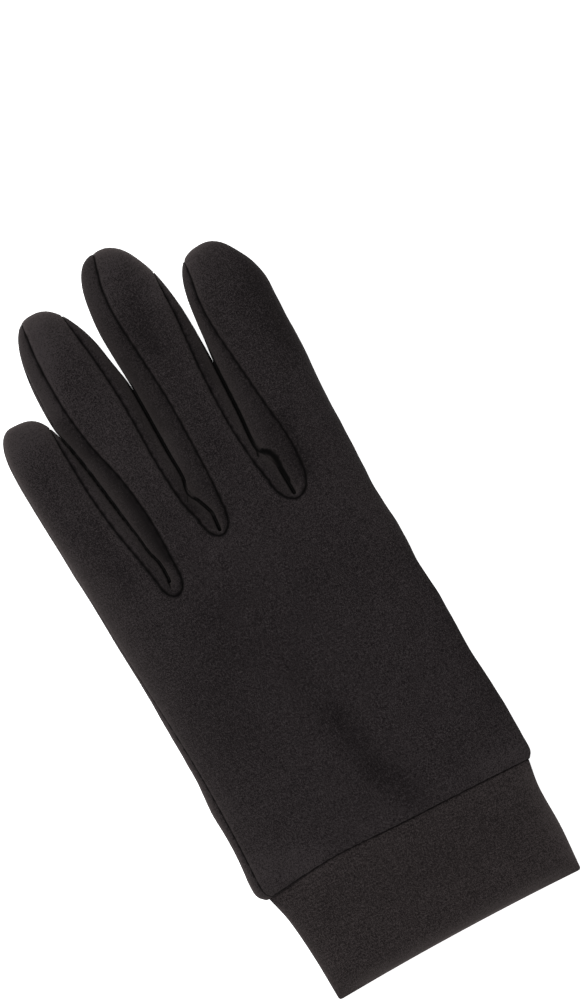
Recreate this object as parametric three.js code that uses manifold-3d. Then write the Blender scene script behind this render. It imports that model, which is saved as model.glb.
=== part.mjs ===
// A left-hand running glove of thin stretch knit. It lies on a table with its back up and its thumb folded
// under the palm.
// Millimetres, +Z up, +Y towards the fingertips, +X towards the thumb side.
// Every piece is a real cloth wall: an outer face, an inner face one wall further in, and a rim between them.
// Shapes are worked out in the glove's own pattern frame: y = 0 at the hem, x = 0 on the middle of the wrist.
// At the end the group is shifted so that the origin is on the table, below the middle of the glove.
import * as THREE from "three";
import { mergeVertices } from "three/addons/utils/BufferGeometryUtils.js";
import Module from "manifold-3d";

// Driving sizes
const clothWall = 1; // knit, brushed inside
const bandWall = 2; // the wrist band is the same knit, doubled
const seamGap = 0.4; // between sewn pieces
const touchGap = 0.4; // between two fingers that lie side by side
const handHeight = 10; // the hand lies almost flat
const bandHeight = 9;
const widestZ = 5; // height above the table where the hand and fingers are widest
const bandWidestZ = 4.5;
const flatShare = 1.06; // how far the underside is pressed flat by the table
const fingerBlend = 20; // length over which the flat hand becomes round fingers
const crownBlend = 40; // length over which a finger's crown line moves from its middle to its tip
const outerBaseDrop = 2; // on the outer sides the fingers' strips start this much lower

// How full a section stays towards its edges: a higher number makes a flatter face with a sharper edge
const backFullness = 4;
const palmFullness = 6;
const palmRoot = 3;
const edgeDraw = 8; // how near the edge the inner face is drawn in
// How fast a face falls from its crown to the widest line: a lower number makes a fuller side
const fingerBackFall = 0.85;
const fingerPalmFall = 0.5;
const tipPalmFall = 0.7;
const fourchetteFall = 0.8;
const thumbFall = 0.5;

// The two outer edges of hand, little finger and index finger, at heights y above the hem
const outerEdges = [
  { y: 37, left: -48.6, right: 44.3 },
  { y: 39.3, left: -50.6, right: 45.7 },
  { y: 43, left: -50.9, right: 46.1 },
  { y: 55, left: -50.6, right: 45.8 },
  { y: 68, left: -50.4, right: 44.9 },
  { y: 85, left: -50.2, right: 44.2 },
  { y: 100, left: -50.4, right: 43.8 },
  { y: 115, left: -51.1, right: 43.2 },
  { y: 130, left: -52.0, right: 42.7 },
  { y: 145, left: -52.7, right: 42.5 },
  { y: 160, left: -53.6, right: 42.8 },
  { y: 175, left: -54.5, right: 43.3 },
  { y: 190, left: -55.1, right: 43.8 },
  { y: 205, left: -55.1, right: 44.0 },
  { y: 225, left: -55.1, right: 44.0 },
];

// The wrist band's edges, and the seam and hem that bow a little across it
const bandEdges = [
  { y: 0, left: -44.0, right: 42.2 },
  { y: 14, left: -44.6, right: 43.0 },
  { y: 28, left: -46.0, right: 42.8 },
  { y: 37, left: -48.2, right: 44.0 },
];
const seamHeights = [
  { x: -50, y: 37.3 },
  { x: -25, y: 39.5 },
  { x: 0, y: 38.8 },
  { x: 25, y: 38.2 },
  { x: 46, y: 37.3 },
];
const handSeamY = 38; // where the hand's and the band's widths along the wrist seam are read
const bandSeamY = 37;
const hemBow = 0.7; // the hem's middle lies this much higher than its ends
const hemRound = 0.6; // the fold at the hem

// Between neighbouring fingers lies a fourchette. Its two seams and the sides of both fingers, at heights y.
// Below the fork the two fingers touch, so both sides are the same line.
const gaps = [
  {
    name: "little_ring",
    depth: 6, // from the first row down to the bottom of the U
    meetEnd: { x: -28.0, y: 143 }, // where the line between the touching fingers stops
    leftEnd: 198, // the seams run out on the sides of the fingertips
    rightEnd: 230,
    rows: [
      { y: 140.5, leftSeam: -31.4, leftSide: -28.1, rightSide: -28.1, rightSeam: -24.0 },
      { y: 150, leftSeam: -33.0, leftSide: -29.4, rightSide: -29.4, rightSeam: -24.0 },
      { y: 162, leftSeam: -35.3, leftSide: -31.0, rightSide: -31.0, rightSeam: -24.4 },
      { y: 175, leftSeam: -36.9, leftSide: -32.9, rightSide: -32.9, rightSeam: -26.3 },
      { y: 188, leftSeam: -37.6, leftSide: -35.0, rightSide: -35.0, rightSeam: -29.6 },
      { y: 198, leftSeam: -38.1, leftSide: -36.9, rightSide: -36.9, rightSeam: -31.2 },
      { y: 207, leftSeam: -39.5, leftSide: -36.7, rightSide: -37.2, rightSeam: -31.9 },
      { y: 221, leftSeam: -39.5, leftSide: -36.7, rightSide: -36.9, rightSeam: -31.9 },
      { y: 236, leftSeam: -39.5, leftSide: -36.7, rightSide: -36.4, rightSeam: -30.2 },
    ],
  },
  {
    name: "ring_middle",
    depth: 7.5,
    meetEnd: { x: -6.5, y: 146.8 },
    leftEnd: 227,
    rightEnd: 240,
    rows: [
      { y: 152, leftSeam: -10.8, leftSide: -6.8, rightSide: -6.8, rightSeam: -2.0 },
      { y: 158, leftSeam: -12.4, leftSide: -8.5, rightSide: -8.5, rightSeam: -1.7 },
      { y: 163, leftSeam: -13.0, leftSide: -9.6, rightSide: -9.6, rightSeam: -1.6 },
      { y: 175, leftSeam: -13.8, leftSide: -9.5, rightSide: -9.5, rightSeam: -1.4 },
      { y: 190, leftSeam: -14.0, leftSide: -9.8, rightSide: -9.8, rightSeam: -1.6 },
      { y: 200, leftSeam: -14.4, leftSide: -10.1, rightSide: -9.9, rightSeam: -2.3 },
      { y: 210, leftSeam: -15.3, leftSide: -12.2, rightSide: -10.1, rightSeam: -3.1 },
      { y: 220, leftSeam: -16.6, leftSide: -13.0, rightSide: -10.2, rightSeam: -3.8 },
      { y: 230, leftSeam: -18.2, leftSide: -13.4, rightSide: -10.0, rightSeam: -3.3 },
      { y: 241, leftSeam: -19.0, leftSide: -13.5, rightSide: -9.8, rightSeam: -0.4 },
    ],
  },
  {
    name: "middle_index",
    depth: 9,
    meetEnd: { x: 19.4, y: 146 },
    leftEnd: 228,
    rightEnd: 221,
    rows: [
      { y: 152.5, leftSeam: 14.2, leftSide: 19.0, rightSide: 19.0, rightSeam: 25.8 },
      { y: 158, leftSeam: 13.3, leftSide: 18.4, rightSide: 18.4, rightSeam: 26.1 },
      { y: 164, leftSeam: 12.7, leftSide: 16.3, rightSide: 16.3, rightSeam: 25.7 },
      { y: 175, leftSeam: 11.9, leftSide: 16.1, rightSide: 16.1, rightSeam: 24.4 },
      { y: 192, leftSeam: 12.1, leftSide: 16.6, rightSide: 16.6, rightSeam: 22.6 },
      { y: 202, leftSeam: 12.8, leftSide: 16.2, rightSide: 17.6, rightSeam: 21.6 },
      { y: 212, leftSeam: 13.6, leftSide: 15.4, rightSide: 18.7, rightSeam: 21.5 },
      { y: 222, leftSeam: 13.7, leftSide: 14.8, rightSide: 18.9, rightSeam: 23.0 },
      { y: 241, leftSeam: 12.9, leftSide: 14.4, rightSide: 19.0, rightSeam: 25.0 },
    ],
  },
];

// Fingertips are capped by a rounded end. roundness is 2 for an ellipse and more for a blunter tip.
const fingers = [
  { name: "little", tipX: -48, tipY: 205.3, capY: 190, roundness: 2.5, height: 10.4 },
  { name: "ring", tipX: -26, tipY: 233, capY: 208, roundness: 2.1, height: 11.2 },
  { name: "middle", tipX: 1, tipY: 241, capY: 215, roundness: 2.05, height: 11.4 },
  { name: "index", tipX: 31, tipY: 227.5, capY: 205, roundness: 2.0, height: 11.2 },
];

// The thumb has its own frame: u runs from its root to its tip along its side seam, v runs across it.
const thumbRoot = { x: 24, y: 45 };
const thumbLean = 25.9; // degrees from +Y towards the little finger
const thumbHeight = 6.6;
const thumbGap = 0.6; // between the thumb and the palm above it
const holeDepth = 8; // of the cut through the palm
const rootRise = 16; // length over which the thumb's side comes down from the palm to mid height
const crotchRise = 14;
const crotchU = 52.7; // above this the thumb is a closed tube, below it is sewn into the palm
const thumbTip = { u: 120, v: 11.6, capU: 98, roundness: 2.3 };
const thumbRows = [
  { u: -2.2, left: 4.0, right: 4.0, sewn: 4.0 },
  { u: -1.2, left: 2.6, right: 10.0, sewn: -0.3 },
  { u: 2, left: 1.2, right: 14.3, sewn: -2.9 },
  { u: 8.7, left: 0.8, right: 20.9, sewn: -5.4 },
  { u: 17.7, left: 1.3, right: 25.3, sewn: -6.0 },
  { u: 29.9, left: 0.7, right: 30.1, sewn: -5.3 },
  { u: 36.7, left: 0.0, right: 32.0, sewn: 0.0 },
  { u: 44, left: -0.6, right: 34.0, sewn: 15.0 },
  { u: 52.7, left: -1.1, right: 35.6, sewn: 35.6 },
  { u: 63.9, left: -1.7, right: 33.3, sewn: 33.3 },
  { u: 78, left: -2.5, right: 29.3, sewn: 29.3 },
  { u: 94, left: -3.3, right: 25.6, sewn: 25.6 },
  { u: 107, left: -2.6, right: 21.8, sewn: 21.8 },
  { u: 120, left: -2.0, right: 18.0, sewn: 18.0 },
];

// The cloth above the thumb is lifted. Each face has a plateau over the thumb with slopes round it, given in
// the thumb's frame. The palm follows the thumb closely, and the back is a wider and lower swell.
const palmLift = {
  height: thumbHeight + thumbGap,
  fromV: -19,
  fullFromV: -9,
  fullToV: 42,
  toV: 58,
  fromU: -36,
  fullFromU: -12,
  fullToU: 124,
  toU: 140,
};
const backLift = {
  height: 4.9,
  fromV: -70,
  fullFromV: -4,
  fullToV: 40,
  toV: 130,
  fromU: -45,
  fullFromU: 10,
  fullToU: 105,
  toU: 172,
};
const liftDelay = 16; // beyond the crotches both faces of a finger come to follow the back's swell
const liftBlend = 30;

// How finely the faces are divided
const stripColumns = 6;
const notchColumns = 6;
const handRows = 7;
const handRowCrowding = 1.3; // hand rows stand closer together towards the fingers
const fingerRows = 6;
const capAngles = [20, 38, 54, 68, 80, 90];
const sectionSteps = 4;
const thumbRowCount = 17;
const thumbHalfRing = 8;
const thumbRowEvenness = 0.25; // thumb rows crowd at both ends, less so with a higher number
const holeSteps = 24;
const bandColumns = 16;
const bandRowShares = [0, 0.35, 0.7];
const weldDistance = 1e-4;

const knitColour = 0x2a2625;
const bandColour = 0x2d2928;

const wasm = await Module();
wasm.setup();

function mix(a, b, t) {
  return a + (b - a) * t;
}

function mixPoints(a, b, t) {
  return [mix(a[0], b[0], t), mix(a[1], b[1], t), mix(a[2], b[2], t)];
}

function ease(t) {
  const c = Math.min(1, Math.max(0, t));
  return c * c * (3 - 2 * c);
}

function radians(degrees) {
  return (degrees * Math.PI) / 180;
}

// A smooth curve through one column of a table, read at any value of its key column
function curveThrough(rows, column, key = "y") {
  const slopes = rows.map((row, i) => {
    const before = rows[Math.max(0, i - 1)];
    const after = rows[Math.min(rows.length - 1, i + 1)];
    return (after[column] - before[column]) / (after[key] - before[key]);
  });
  return (at) => {
    let i = rows.findIndex((row) => row[key] > at) - 1;
    if (at <= rows[0][key]) i = 0;
    else if (i < 0) i = rows.length - 2;
    const width = rows[i + 1][key] - rows[i][key];
    const t = Math.min(1, Math.max(0, (at - rows[i][key]) / width));
    const rise = t * t * (3 - 2 * t);
    const bendStart = t * (1 - t) * (1 - t) * width;
    const bendEnd = t * t * (t - 1) * width;
    return (
      mix(rows[i][column], rows[i + 1][column], rise) + slopes[i] * bendStart + slopes[i + 1] * bendEnd
    );
  };
}

const handLeft = curveThrough(outerEdges, "left");
const handRight = curveThrough(outerEdges, "right");
const bandLeft = curveThrough(bandEdges, "left");
const bandRight = curveThrough(bandEdges, "right");
const seamY = curveThrough(seamHeights, "y", "x");

for (const gap of gaps) {
  const base = gap.rows[0];
  gap.baseY = base.y;
  gap.x = (base.leftSeam + base.rightSeam) / 2;
  gap.halfWidth = (base.rightSeam - base.leftSeam) / 2;
  gap.leftSeam = curveThrough(gap.rows, "leftSeam");
  gap.rightSeam = curveThrough(gap.rows, "rightSeam");
  const leftSide = curveThrough(gap.rows, "leftSide");
  const rightSide = curveThrough(gap.rows, "rightSide");
  // Below its first row a gap's sides close in on the end of the meeting line
  const towardsEnd = (side) => (y) => {
    if (y >= gap.baseY) return side(y);
    const t = Math.min(1, (gap.baseY - y) / Math.max(0.1, gap.baseY - gap.meetEnd.y));
    return mix(side(gap.baseY), gap.meetEnd.x, t);
  };
  gap.leftSide = (y) => towardsEnd(leftSide)(y) - touchGap / 2;
  gap.rightSide = (y) => towardsEnd(rightSide)(y) + touchGap / 2;
}

fingers.forEach((finger, i) => {
  const before = gaps[i - 1];
  const after = gaps[i];
  finger.left = before ? before.rightSide : handLeft;
  finger.right = after ? after.leftSide : handRight;
  finger.leftSeam = before ? before.rightSeam : null;
  finger.rightSeam = after ? after.leftSeam : null;
  finger.leftBaseY = before ? before.baseY : gaps[0].baseY - outerBaseDrop;
  finger.rightBaseY = after ? after.baseY : gaps[2].baseY - outerBaseDrop;
});

// Where hand turns into fingers: a line across the glove through the bases of the gaps
const fingerLine = curveThrough(
  [
    { x: -55, y: fingers[0].leftBaseY },
    ...gaps.map((gap) => ({ x: gap.x, y: gap.baseY })),
    { x: 45, y: fingers[3].rightBaseY },
  ],
  "y",
  "x",
);

// The thumb's frame in the pattern frame
const alongThumb = { x: -Math.sin(radians(thumbLean)), y: Math.cos(radians(thumbLean)) };
const acrossThumb = { x: Math.cos(radians(thumbLean)), y: Math.sin(radians(thumbLean)) };

function thumbToGlove(u, v) {
  return {
    x: thumbRoot.x + u * alongThumb.x + v * acrossThumb.x,
    y: thumbRoot.y + u * alongThumb.y + v * acrossThumb.y,
  };
}

function swell(lift, u, v) {
  const rise =
    ease((v - lift.fromV) / (lift.fullFromV - lift.fromV)) *
    ease((lift.toV - v) / (lift.toV - lift.fullToV)) *
    ease((u - lift.fromU) / (lift.fullFromU - lift.fromU)) *
    ease((lift.toU - u) / (lift.toU - lift.fullToU));
  return rise * lift.height;
}

// share is 1 on the back of the glove and 0 on its palm
function liftAt(x, y, share) {
  const dx = x - thumbRoot.x;
  const dy = y - thumbRoot.y;
  const u = dx * alongThumb.x + dy * alongThumb.y;
  const v = dx * acrossThumb.x + dy * acrossThumb.y;
  const back = swell(backLift, u, v);
  const palm = mix(swell(palmLift, u, v), back, ease((y - fingerLine(x) - liftDelay) / liftBlend));
  return mix(palm, back, share);
}

// Height of a face above the table. level is 1 on the crown of the section and 0 at its widest line.
// face is 1 for the back of the glove and -1 for the palm.
function faceZ(face, level, inset, height, widest, gap) {
  if (face > 0) return widest + gap / 2 + (height - widest - gap / 2 - inset) * level;
  const pressed = widest - gap / 2 - (widest * flatShare - gap / 2 - inset) * level;
  return Math.max(inset, pressed);
}

function lifted(x, y, z, face, level) {
  return [x, y, z + liftAt(x, y, 0.5 + (face * level) / 2)];
}

// s is 0 on the middle of the flat hand or band and 1 on its edge
function flatLevel(face, s) {
  return face > 0 ? (1 - s ** backFullness) ** (1 / 2) : (1 - s ** palmFullness) ** (1 / palmRoot);
}

function handPoint(x, y, face, inset) {
  const middle = (handLeft(y) + handRight(y)) / 2;
  const half = (handRight(y) - handLeft(y)) / 2;
  const s = Math.min(1, Math.abs(x - middle) / half);
  const level = flatLevel(face, s);
  const inwards = -Math.sign(x - middle) * inset * s ** edgeDraw;
  const z = faceZ(face, level, inset, handHeight, widestZ, seamGap);
  return lifted(x + inwards, y, z, face, level);
}

// The crown line of a finger moves from its middle to its tip
function crownX(finger, y) {
  const middle = (finger.left(y) + finger.right(y)) / 2;
  return mix(middle, finger.tipX, ease((y - finger.capY + crownBlend) / crownBlend));
}

function capAt(finger, y) {
  const along = Math.min(1, Math.max(0, (y - finger.capY) / (finger.tipY - finger.capY)));
  return { along, width: (1 - along ** finger.roundness) ** (1 / finger.roundness) };
}

// turn is the angle round a finger's section: 0 on its crown, -90 and 90 degrees on its sides
function fingerPoint(finger, y, turn, face, inset) {
  const cap = capAt(finger, y);
  const crown = crownX(finger, y);
  const side = turn < 0 ? crown - finger.left(y) : finger.right(y) - crown;
  const x = crown + (side - inset) * cap.width * Math.sin(turn);
  const round = Math.max(0, Math.cos(turn));
  const backLevel = cap.width * round ** fingerBackFall;
  const palmLevel = cap.width ** tipPalmFall * round ** fingerPalmFall;
  const level = face > 0 ? backLevel : palmLevel;
  const z = faceZ(face, level, inset, finger.height, widestZ, seamGap);
  const yPoint = y > finger.capY ? y - inset * cap.along : y;
  return lifted(x, yPoint, z, face, level);
}

function seamTurn(finger, y, seamX) {
  const cap = capAt(finger, y);
  const crown = crownX(finger, y);
  const side = seamX < crown ? crown - finger.left(y) : finger.right(y) - crown;
  const reach = (seamX - crown) / Math.max(0.01, side * cap.width);
  return Math.asin(Math.min(1, Math.max(-1, reach)));
}

function fingerShare(x, y) {
  return ease((y - fingerLine(x)) / fingerBlend);
}

// A point on a finger's back or palm strip. across is 0 on its left edge and 1 on its right edge.
// edgeShift moves the strip's sewn edges outwards, to leave the seam's gap or to reach the fourchette's edge.
function stripPoint(finger, y, across, face, inset, edgeShift) {
  const side = Math.PI / 2;
  const leftTurn = finger.leftSeam ? seamTurn(finger, y, finger.leftSeam(y) - edgeShift) : -side;
  const rightTurn = finger.rightSeam ? seamTurn(finger, y, finger.rightSeam(y) + edgeShift) : side;
  const turn = mix(leftTurn, rightTurn, across);
  const outer = fingerPoint(finger, y, turn, face, 0);
  const round = fingerPoint(finger, y, turn, face, inset);
  const share = fingerShare(outer[0], y);
  if (share >= 1) return round;
  return mixPoints(handPoint(outer[0], y, face, inset), round, share);
}

// The heights of a finger's rows: even up to its cap, then closer together towards its tip
function rowHeights(finger, baseY) {
  const heights = [];
  for (let r = 0; r <= fingerRows; r++) heights.push(mix(baseY, finger.capY, r / fingerRows));
  for (const angle of capAngles) heights.push(mix(finger.capY, finger.tipY, Math.sin(radians(angle))));
  return heights;
}

// The rounded bottom of a gap, from its left seam at 180 degrees to its right seam at 360 degrees
function notchPoint(gap, angle, grow) {
  return {
    x: gap.x + (gap.halfWidth + grow) * Math.cos(angle),
    y: gap.baseY + (gap.depth + grow) * Math.sin(angle),
  };
}

// A cloth piece under construction: outer points with their inner partners, and the faces between them
class Cloth {
  constructor() {
    this.outer = [];
    this.inner = [];
    this.faces = [];
    this.known = new Map();
  }

  point(outer, inner) {
    const key = outer.map((value) => value.toFixed(3)).join(" ");
    if (!this.known.has(key)) {
      this.known.set(key, this.outer.length);
      this.outer.push(outer);
      this.inner.push(inner);
    }
    return this.known.get(key);
  }

  triangle(a, b, c) {
    if (a !== b && b !== c && c !== a) this.faces.push([a, b, c]);
  }

  // grid is rows of point numbers. Faces look out when columns turn left of the rows' direction.
  grid(rows, flip) {
    for (let r = 0; r + 1 < rows.length; r++) {
      for (let c = 0; c + 1 < rows[r].length; c++) {
        const [a, b, d, e] = [rows[r][c], rows[r][c + 1], rows[r + 1][c], rows[r + 1][c + 1]];
        if (flip) {
          this.triangle(a, d, b);
          this.triangle(b, d, e);
        } else {
          this.triangle(a, b, e);
          this.triangle(a, e, d);
        }
      }
    }
  }

  geometry() {
    const count = this.outer.length;
    const used = new Set(this.faces.flatMap(([a, b, c]) => [`${a} ${b}`, `${b} ${c}`, `${c} ${a}`]));
    const index = [];
    for (const [a, b, c] of this.faces) {
      index.push(a, b, c, count + a, count + c, count + b);
      for (const [from, to] of [[a, b], [b, c], [c, a]]) {
        if (!used.has(`${to} ${from}`)) index.push(from, count + from, count + to, from, count + to, to);
      }
    }
    const made = new THREE.BufferGeometry();
    const positions = new Float32Array([...this.outer, ...this.inner].flat());
    made.setAttribute("position", new THREE.BufferAttribute(positions, 3));
    made.setIndex(index);
    return made;
  }
}

// Back or palm: the hand with four finger strips, and rounded notches where the fourchettes are sewn in
function panelGeometry(face) {
  const cloth = new Cloth();
  const edgeShift = -seamGap / 2;
  const columns = [];
  fingers.forEach((finger, i) => {
    for (let c = 0; c <= stripColumns; c++) {
      const across = c / stripColumns;
      const y = mix(finger.leftBaseY, finger.rightBaseY, across);
      const top = stripPoint(finger, y, across, face, 0, edgeShift);
      columns.push({ x: top[0], y, finger, across });
    }
    const gap = gaps[i];
    if (!gap) return;
    for (let c = 1; c < notchColumns; c++) {
      columns.push(notchPoint(gap, Math.PI * (1 + c / notchColumns), seamGap / 2));
    }
  });

  const handGrid = [];
  for (let r = 0; r <= handRows; r++) {
    handGrid.push(
      columns.map((column) => {
        const across = (column.x - handLeft(column.y)) / (handRight(column.y) - handLeft(column.y));
        const seamX = mix(handLeft(handSeamY), handRight(handSeamY), across);
        const seamAt = seamY(seamX) + seamGap / 2;
        const share = 1 - (1 - r / handRows) ** handRowCrowding;
        const y = mix(seamAt, column.y, share);
        const x = mix(handLeft(y), handRight(y), across);
        return cloth.point(handPoint(x, y, face, 0), handPoint(x, y, face, clothWall));
      }),
    );
  }
  columns.forEach((column, c) => {
    column.top = handGrid[handRows][c];
  });
  cloth.grid(handGrid, face < 0);

  for (const finger of fingers) {
    const own = columns.filter((column) => column.finger === finger);
    const heights = own.map((column) => rowHeights(finger, column.y));
    const strip = heights[0].map((_, r) =>
      own.map((column, c) => {
        if (r === 0) return column.top;
        return cloth.point(
          stripPoint(finger, heights[c][r], column.across, face, 0, edgeShift),
          stripPoint(finger, heights[c][r], column.across, face, clothWall, edgeShift),
        );
      }),
    );
    cloth.grid(strip, face < 0);
  }
  return cloth.geometry();
}

// One fourchette: a strip that runs down the side of one finger, round the crotch and up the next finger.
// At each station its section curves from the back seam down to the widest line and on to the palm seam.
function fourchetteGeometry(gap, leftFinger, rightFinger) {
  const cloth = new Cloth();
  const edgeShift = seamGap / 2;
  const stations = [];
  const addArm = (finger, across, end, towardsTip) => {
    const heights = rowHeights(finger, gap.baseY).filter((height) => height < end);
    if (!towardsTip) heights.reverse();
    for (const height of heights) {
      stations.push({
        edge: (face, inset) => stripPoint(finger, height, across, face, inset, edgeShift),
        middle: (inset) => {
          const y = mix(gap.meetEnd.y, end, (height - gap.baseY) / (end - gap.baseY));
          const side = across > 0 ? Math.PI / 2 : -Math.PI / 2;
          const back = fingerPoint(finger, y, side, 1, inset);
          const palm = fingerPoint(finger, y, side, -1, inset);
          return mixPoints(back, palm, 0.5);
        },
      });
    }
  };
  addArm(leftFinger, 1, gap.leftEnd, false);
  for (let c = 1; c < notchColumns; c++) {
    const angle = Math.PI * (1 + c / notchColumns);
    const top = notchPoint(gap, angle, -seamGap / 2);
    stations.push({
      edge: (face, inset) => handPoint(top.x, top.y, face, inset),
      middle: (inset) => {
        const reach = touchGap / 2 + inset;
        const x = gap.meetEnd.x + reach * Math.cos(angle);
        const y = gap.meetEnd.y + reach * Math.sin(angle);
        return [x, y, widestZ + liftAt(x, y, 0.5)];
      },
    });
  }
  addArm(rightFinger, 0, gap.rightEnd, true);

  const section = (station, inset) => {
    const middle = station.middle(inset);
    const points = [];
    for (const face of [1, -1]) {
      const edge = station.edge(face, inset);
      for (let c = 0; c < sectionSteps; c++) {
        const turn = ((Math.PI / 2) * c) / sectionSteps;
        const out = 1 - Math.sin(turn);
        const up = Math.cos(turn) ** fourchetteFall;
        const point = [mix(middle[0], edge[0], out), mix(middle[1], edge[1], out), mix(middle[2], edge[2], up)];
        points.push(point);
      }
    }
    const palmSide = points.splice(sectionSteps).reverse();
    return [...points, middle, ...palmSide];
  };
  const rows = stations.map((station) => {
    const outer = section(station, 0);
    const inner = section(station, clothWall);
    return outer.map((point, c) => cloth.point(point, inner[c]));
  });
  cloth.grid(rows, true);
  return cloth.geometry();
}

const thumbLeft = curveThrough(thumbRows, "left", "u");
const thumbRight = curveThrough(thumbRows, "right", "u");
const thumbSewn = curveThrough(thumbRows, "sewn", "u");

// The thumb: a flattened tube, closed at its tip and slit open along its root, where it is sewn into the palm
function thumbGeometry() {
  const rootU = thumbRows[0].u;
  const rowPoint = (u, t, inset) => {
    const capU = Math.min(1, Math.max(0, (u - thumbTip.capU) / (thumbTip.u - thumbTip.capU)));
    const width = (1 - capU ** thumbTip.roundness) ** (1 / thumbTip.roundness);
    const capped = (v) => mix(thumbTip.v, v, width);
    const left = capped(thumbLeft(u)) + inset * width;
    const right = capped(thumbRight(u)) - inset * width;
    const open = u < crotchU;
    const sewn = open ? thumbSewn(u) + inset : right;
    const rootShare = ease((u - rootU) / rootRise);
    const freeShare = ease((u - crotchU) / crotchRise);
    const middleZ = thumbHeight / 2;
    const sewnZ = thumbHeight;
    const leftZ = mix(sewnZ, middleZ, rootShare);
    const rightZ = mix(sewnZ, middleZ, freeShare);
    const yShift = -inset * capU;
    let v, z;
    if (t <= 0.5) {
      const turn = Math.PI * 2 * t;
      v = mix(left, right, (1 + Math.cos(turn)) / 2);
      const edge = mix(leftZ, rightZ, (1 + Math.cos(turn)) / 2);
      const press = Math.sin(turn) ** thumbFall * rootShare * width;
      z = edge - (edge - inset) * press;
      if (rootShare < 1) z = Math.max(z, inset * press);
    } else {
      const turn = Math.PI * 2 * (t - 0.5);
      const across = (1 - Math.cos(turn)) / 2;
      v = mix(left, sewn, across);
      const edge = mix(leftZ, rightZ, across);
      z = edge + (thumbHeight - inset - edge) * Math.abs(Math.sin(turn)) ** thumbFall * width;
    }
    const place = thumbToGlove(u + yShift, v);
    return [place.x, place.y, z];
  };
  const cloth = new Cloth();
  const rows = [];
  for (let r = 0; r <= thumbRowCount; r++) {
    const t = r / thumbRowCount;
    const crowding = 1 - thumbRowEvenness * Math.sin(Math.PI * t) ** 2;
    const u = mix(rootU, thumbTip.u, 0.5 - 0.5 * Math.cos(Math.PI * t) * crowding);
    const row = [];
    for (let c = 0; c <= 2 * thumbHalfRing; c++) {
      const around = c / (2 * thumbHalfRing);
      row.push(cloth.point(rowPoint(u, around, 0), rowPoint(u, around, clothWall)));
    }
    rows.push(row);
  }
  cloth.grid(rows, false);
  return cloth.geometry();
}

// The closed line round the thumb's root where it is sewn to the palm, grown outwards by an amount
function thumbHoleShape(grow) {
  const points = [];
  const rootU = thumbRows[0].u;
  const uAt = (t) => mix(rootU, crotchU, t * t * (2 - t));
  for (let s = 0; s <= holeSteps; s++) {
    const u = uAt(s / holeSteps);
    points.push({ u, v: thumbRight(u) });
  }
  for (let s = holeSteps - 1; s > 0; s--) {
    const u = uAt(s / holeSteps);
    points.push({ u, v: thumbSewn(u) });
  }
  const grown = points.map((point, i) => {
    const before = points[(i + points.length - 1) % points.length];
    const after = points[(i + 1) % points.length];
    const run = Math.hypot(after.u - before.u, after.v - before.v);
    const u = point.u - (grow * (after.v - before.v)) / run;
    const v = point.v + (grow * (after.u - before.u)) / run;
    return thumbToGlove(u, v);
  });
  return new THREE.Shape(grown.map((place) => new THREE.Vector2(place.x, place.y)));
}

// The wrist band: a doubled tube, sewn to the hand at the top and folded at the hem
function bandGeometry() {
  const cloth = new Cloth();
  const levels = [
    ...bandRowShares.map((share) => ({ share, inset: 0 })),
    { share: 1, inset: 0, back: hemRound },
    { share: 1, inset: hemRound, back: 0 },
  ];
  const bandPoint = (level, across, face, inset) => {
    const bow = hemBow * (1 - across * across);
    const seamAt = seamY(mix(bandLeft(bandSeamY), bandRight(bandSeamY), (across + 1) / 2)) - seamGap / 2;
    const y = mix(seamAt, bow, level.share) + (level.back ?? 0);
    const middle = (bandLeft(y) + bandRight(y)) / 2;
    const half = (bandRight(y) - bandLeft(y)) / 2;
    const s = Math.abs(across);
    const flat = flatLevel(face, s);
    const x = middle + (half - inset) * across;
    return lifted(x, y, faceZ(face, flat, inset, bandHeight, bandWidestZ, 0), face, flat);
  };
  const rows = levels.map((level) => {
    const row = [];
    for (let c = 0; c < 2 * bandColumns; c++) {
      const face = c < bandColumns ? 1 : -1;
      const across = -Math.cos((Math.PI * c) / bandColumns);
      const outerInset = level.inset;
      const innerInset = bandWall - level.inset;
      row.push(
        cloth.point(bandPoint(level, across, face, outerInset), bandPoint(level, across, face, innerInset)),
      );
    }
    return [...row, row[0]];
  });
  cloth.grid(rows, true);
  return cloth.geometry();
}

// Joining and cutting
function solidOf(geometry) {
  const bare = geometry.clone();
  bare.deleteAttribute("normal");
  bare.deleteAttribute("uv");
  const merged = mergeVertices(bare, weldDistance);
  const vertProperties = merged.attributes.position.array;
  const triVerts = new Uint32Array(merged.index.array);
  return new wasm.Manifold(new wasm.Mesh({ numProp: 3, vertProperties, triVerts }));
}

function geometryOf(solid) {
  const mesh = solid.getMesh();
  const made = new THREE.BufferGeometry();
  made.setAttribute("position", new THREE.BufferAttribute(mesh.vertProperties, 3));
  made.setIndex(new THREE.BufferAttribute(mesh.triVerts, 1));
  return made;
}

function palmGeometry() {
  const hole = new THREE.ExtrudeGeometry(thumbHoleShape(-seamGap), { depth: holeDepth, bevelEnabled: false });
  hole.translate(0, 0, palmLift.height - holeDepth / 2);
  return geometryOf(solidOf(panelGeometry(-1)).subtract(solidOf(hole)));
}

const knit = new THREE.MeshStandardMaterial({ color: knitColour, roughness: 0.92, metalness: 0 });
const bandKnit = new THREE.MeshStandardMaterial({ color: bandColour, roughness: 0.9, metalness: 0 });

const glove = new THREE.Group();

function addPiece(name, geometry, material) {
  const piece = new THREE.Mesh(geometry, material);
  piece.name = name;
  glove.add(piece);
}

addPiece("back_panel", panelGeometry(1), knit);
addPiece("palm_panel", palmGeometry(), knit);
gaps.forEach((gap, i) => {
  addPiece(`fourchette_${gap.name}`, fourchetteGeometry(gap, fingers[i], fingers[i + 1]), knit);
});
addPiece("thumb", thumbGeometry(), knit);
addPiece("wrist_band", bandGeometry(), bandKnit);

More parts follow.
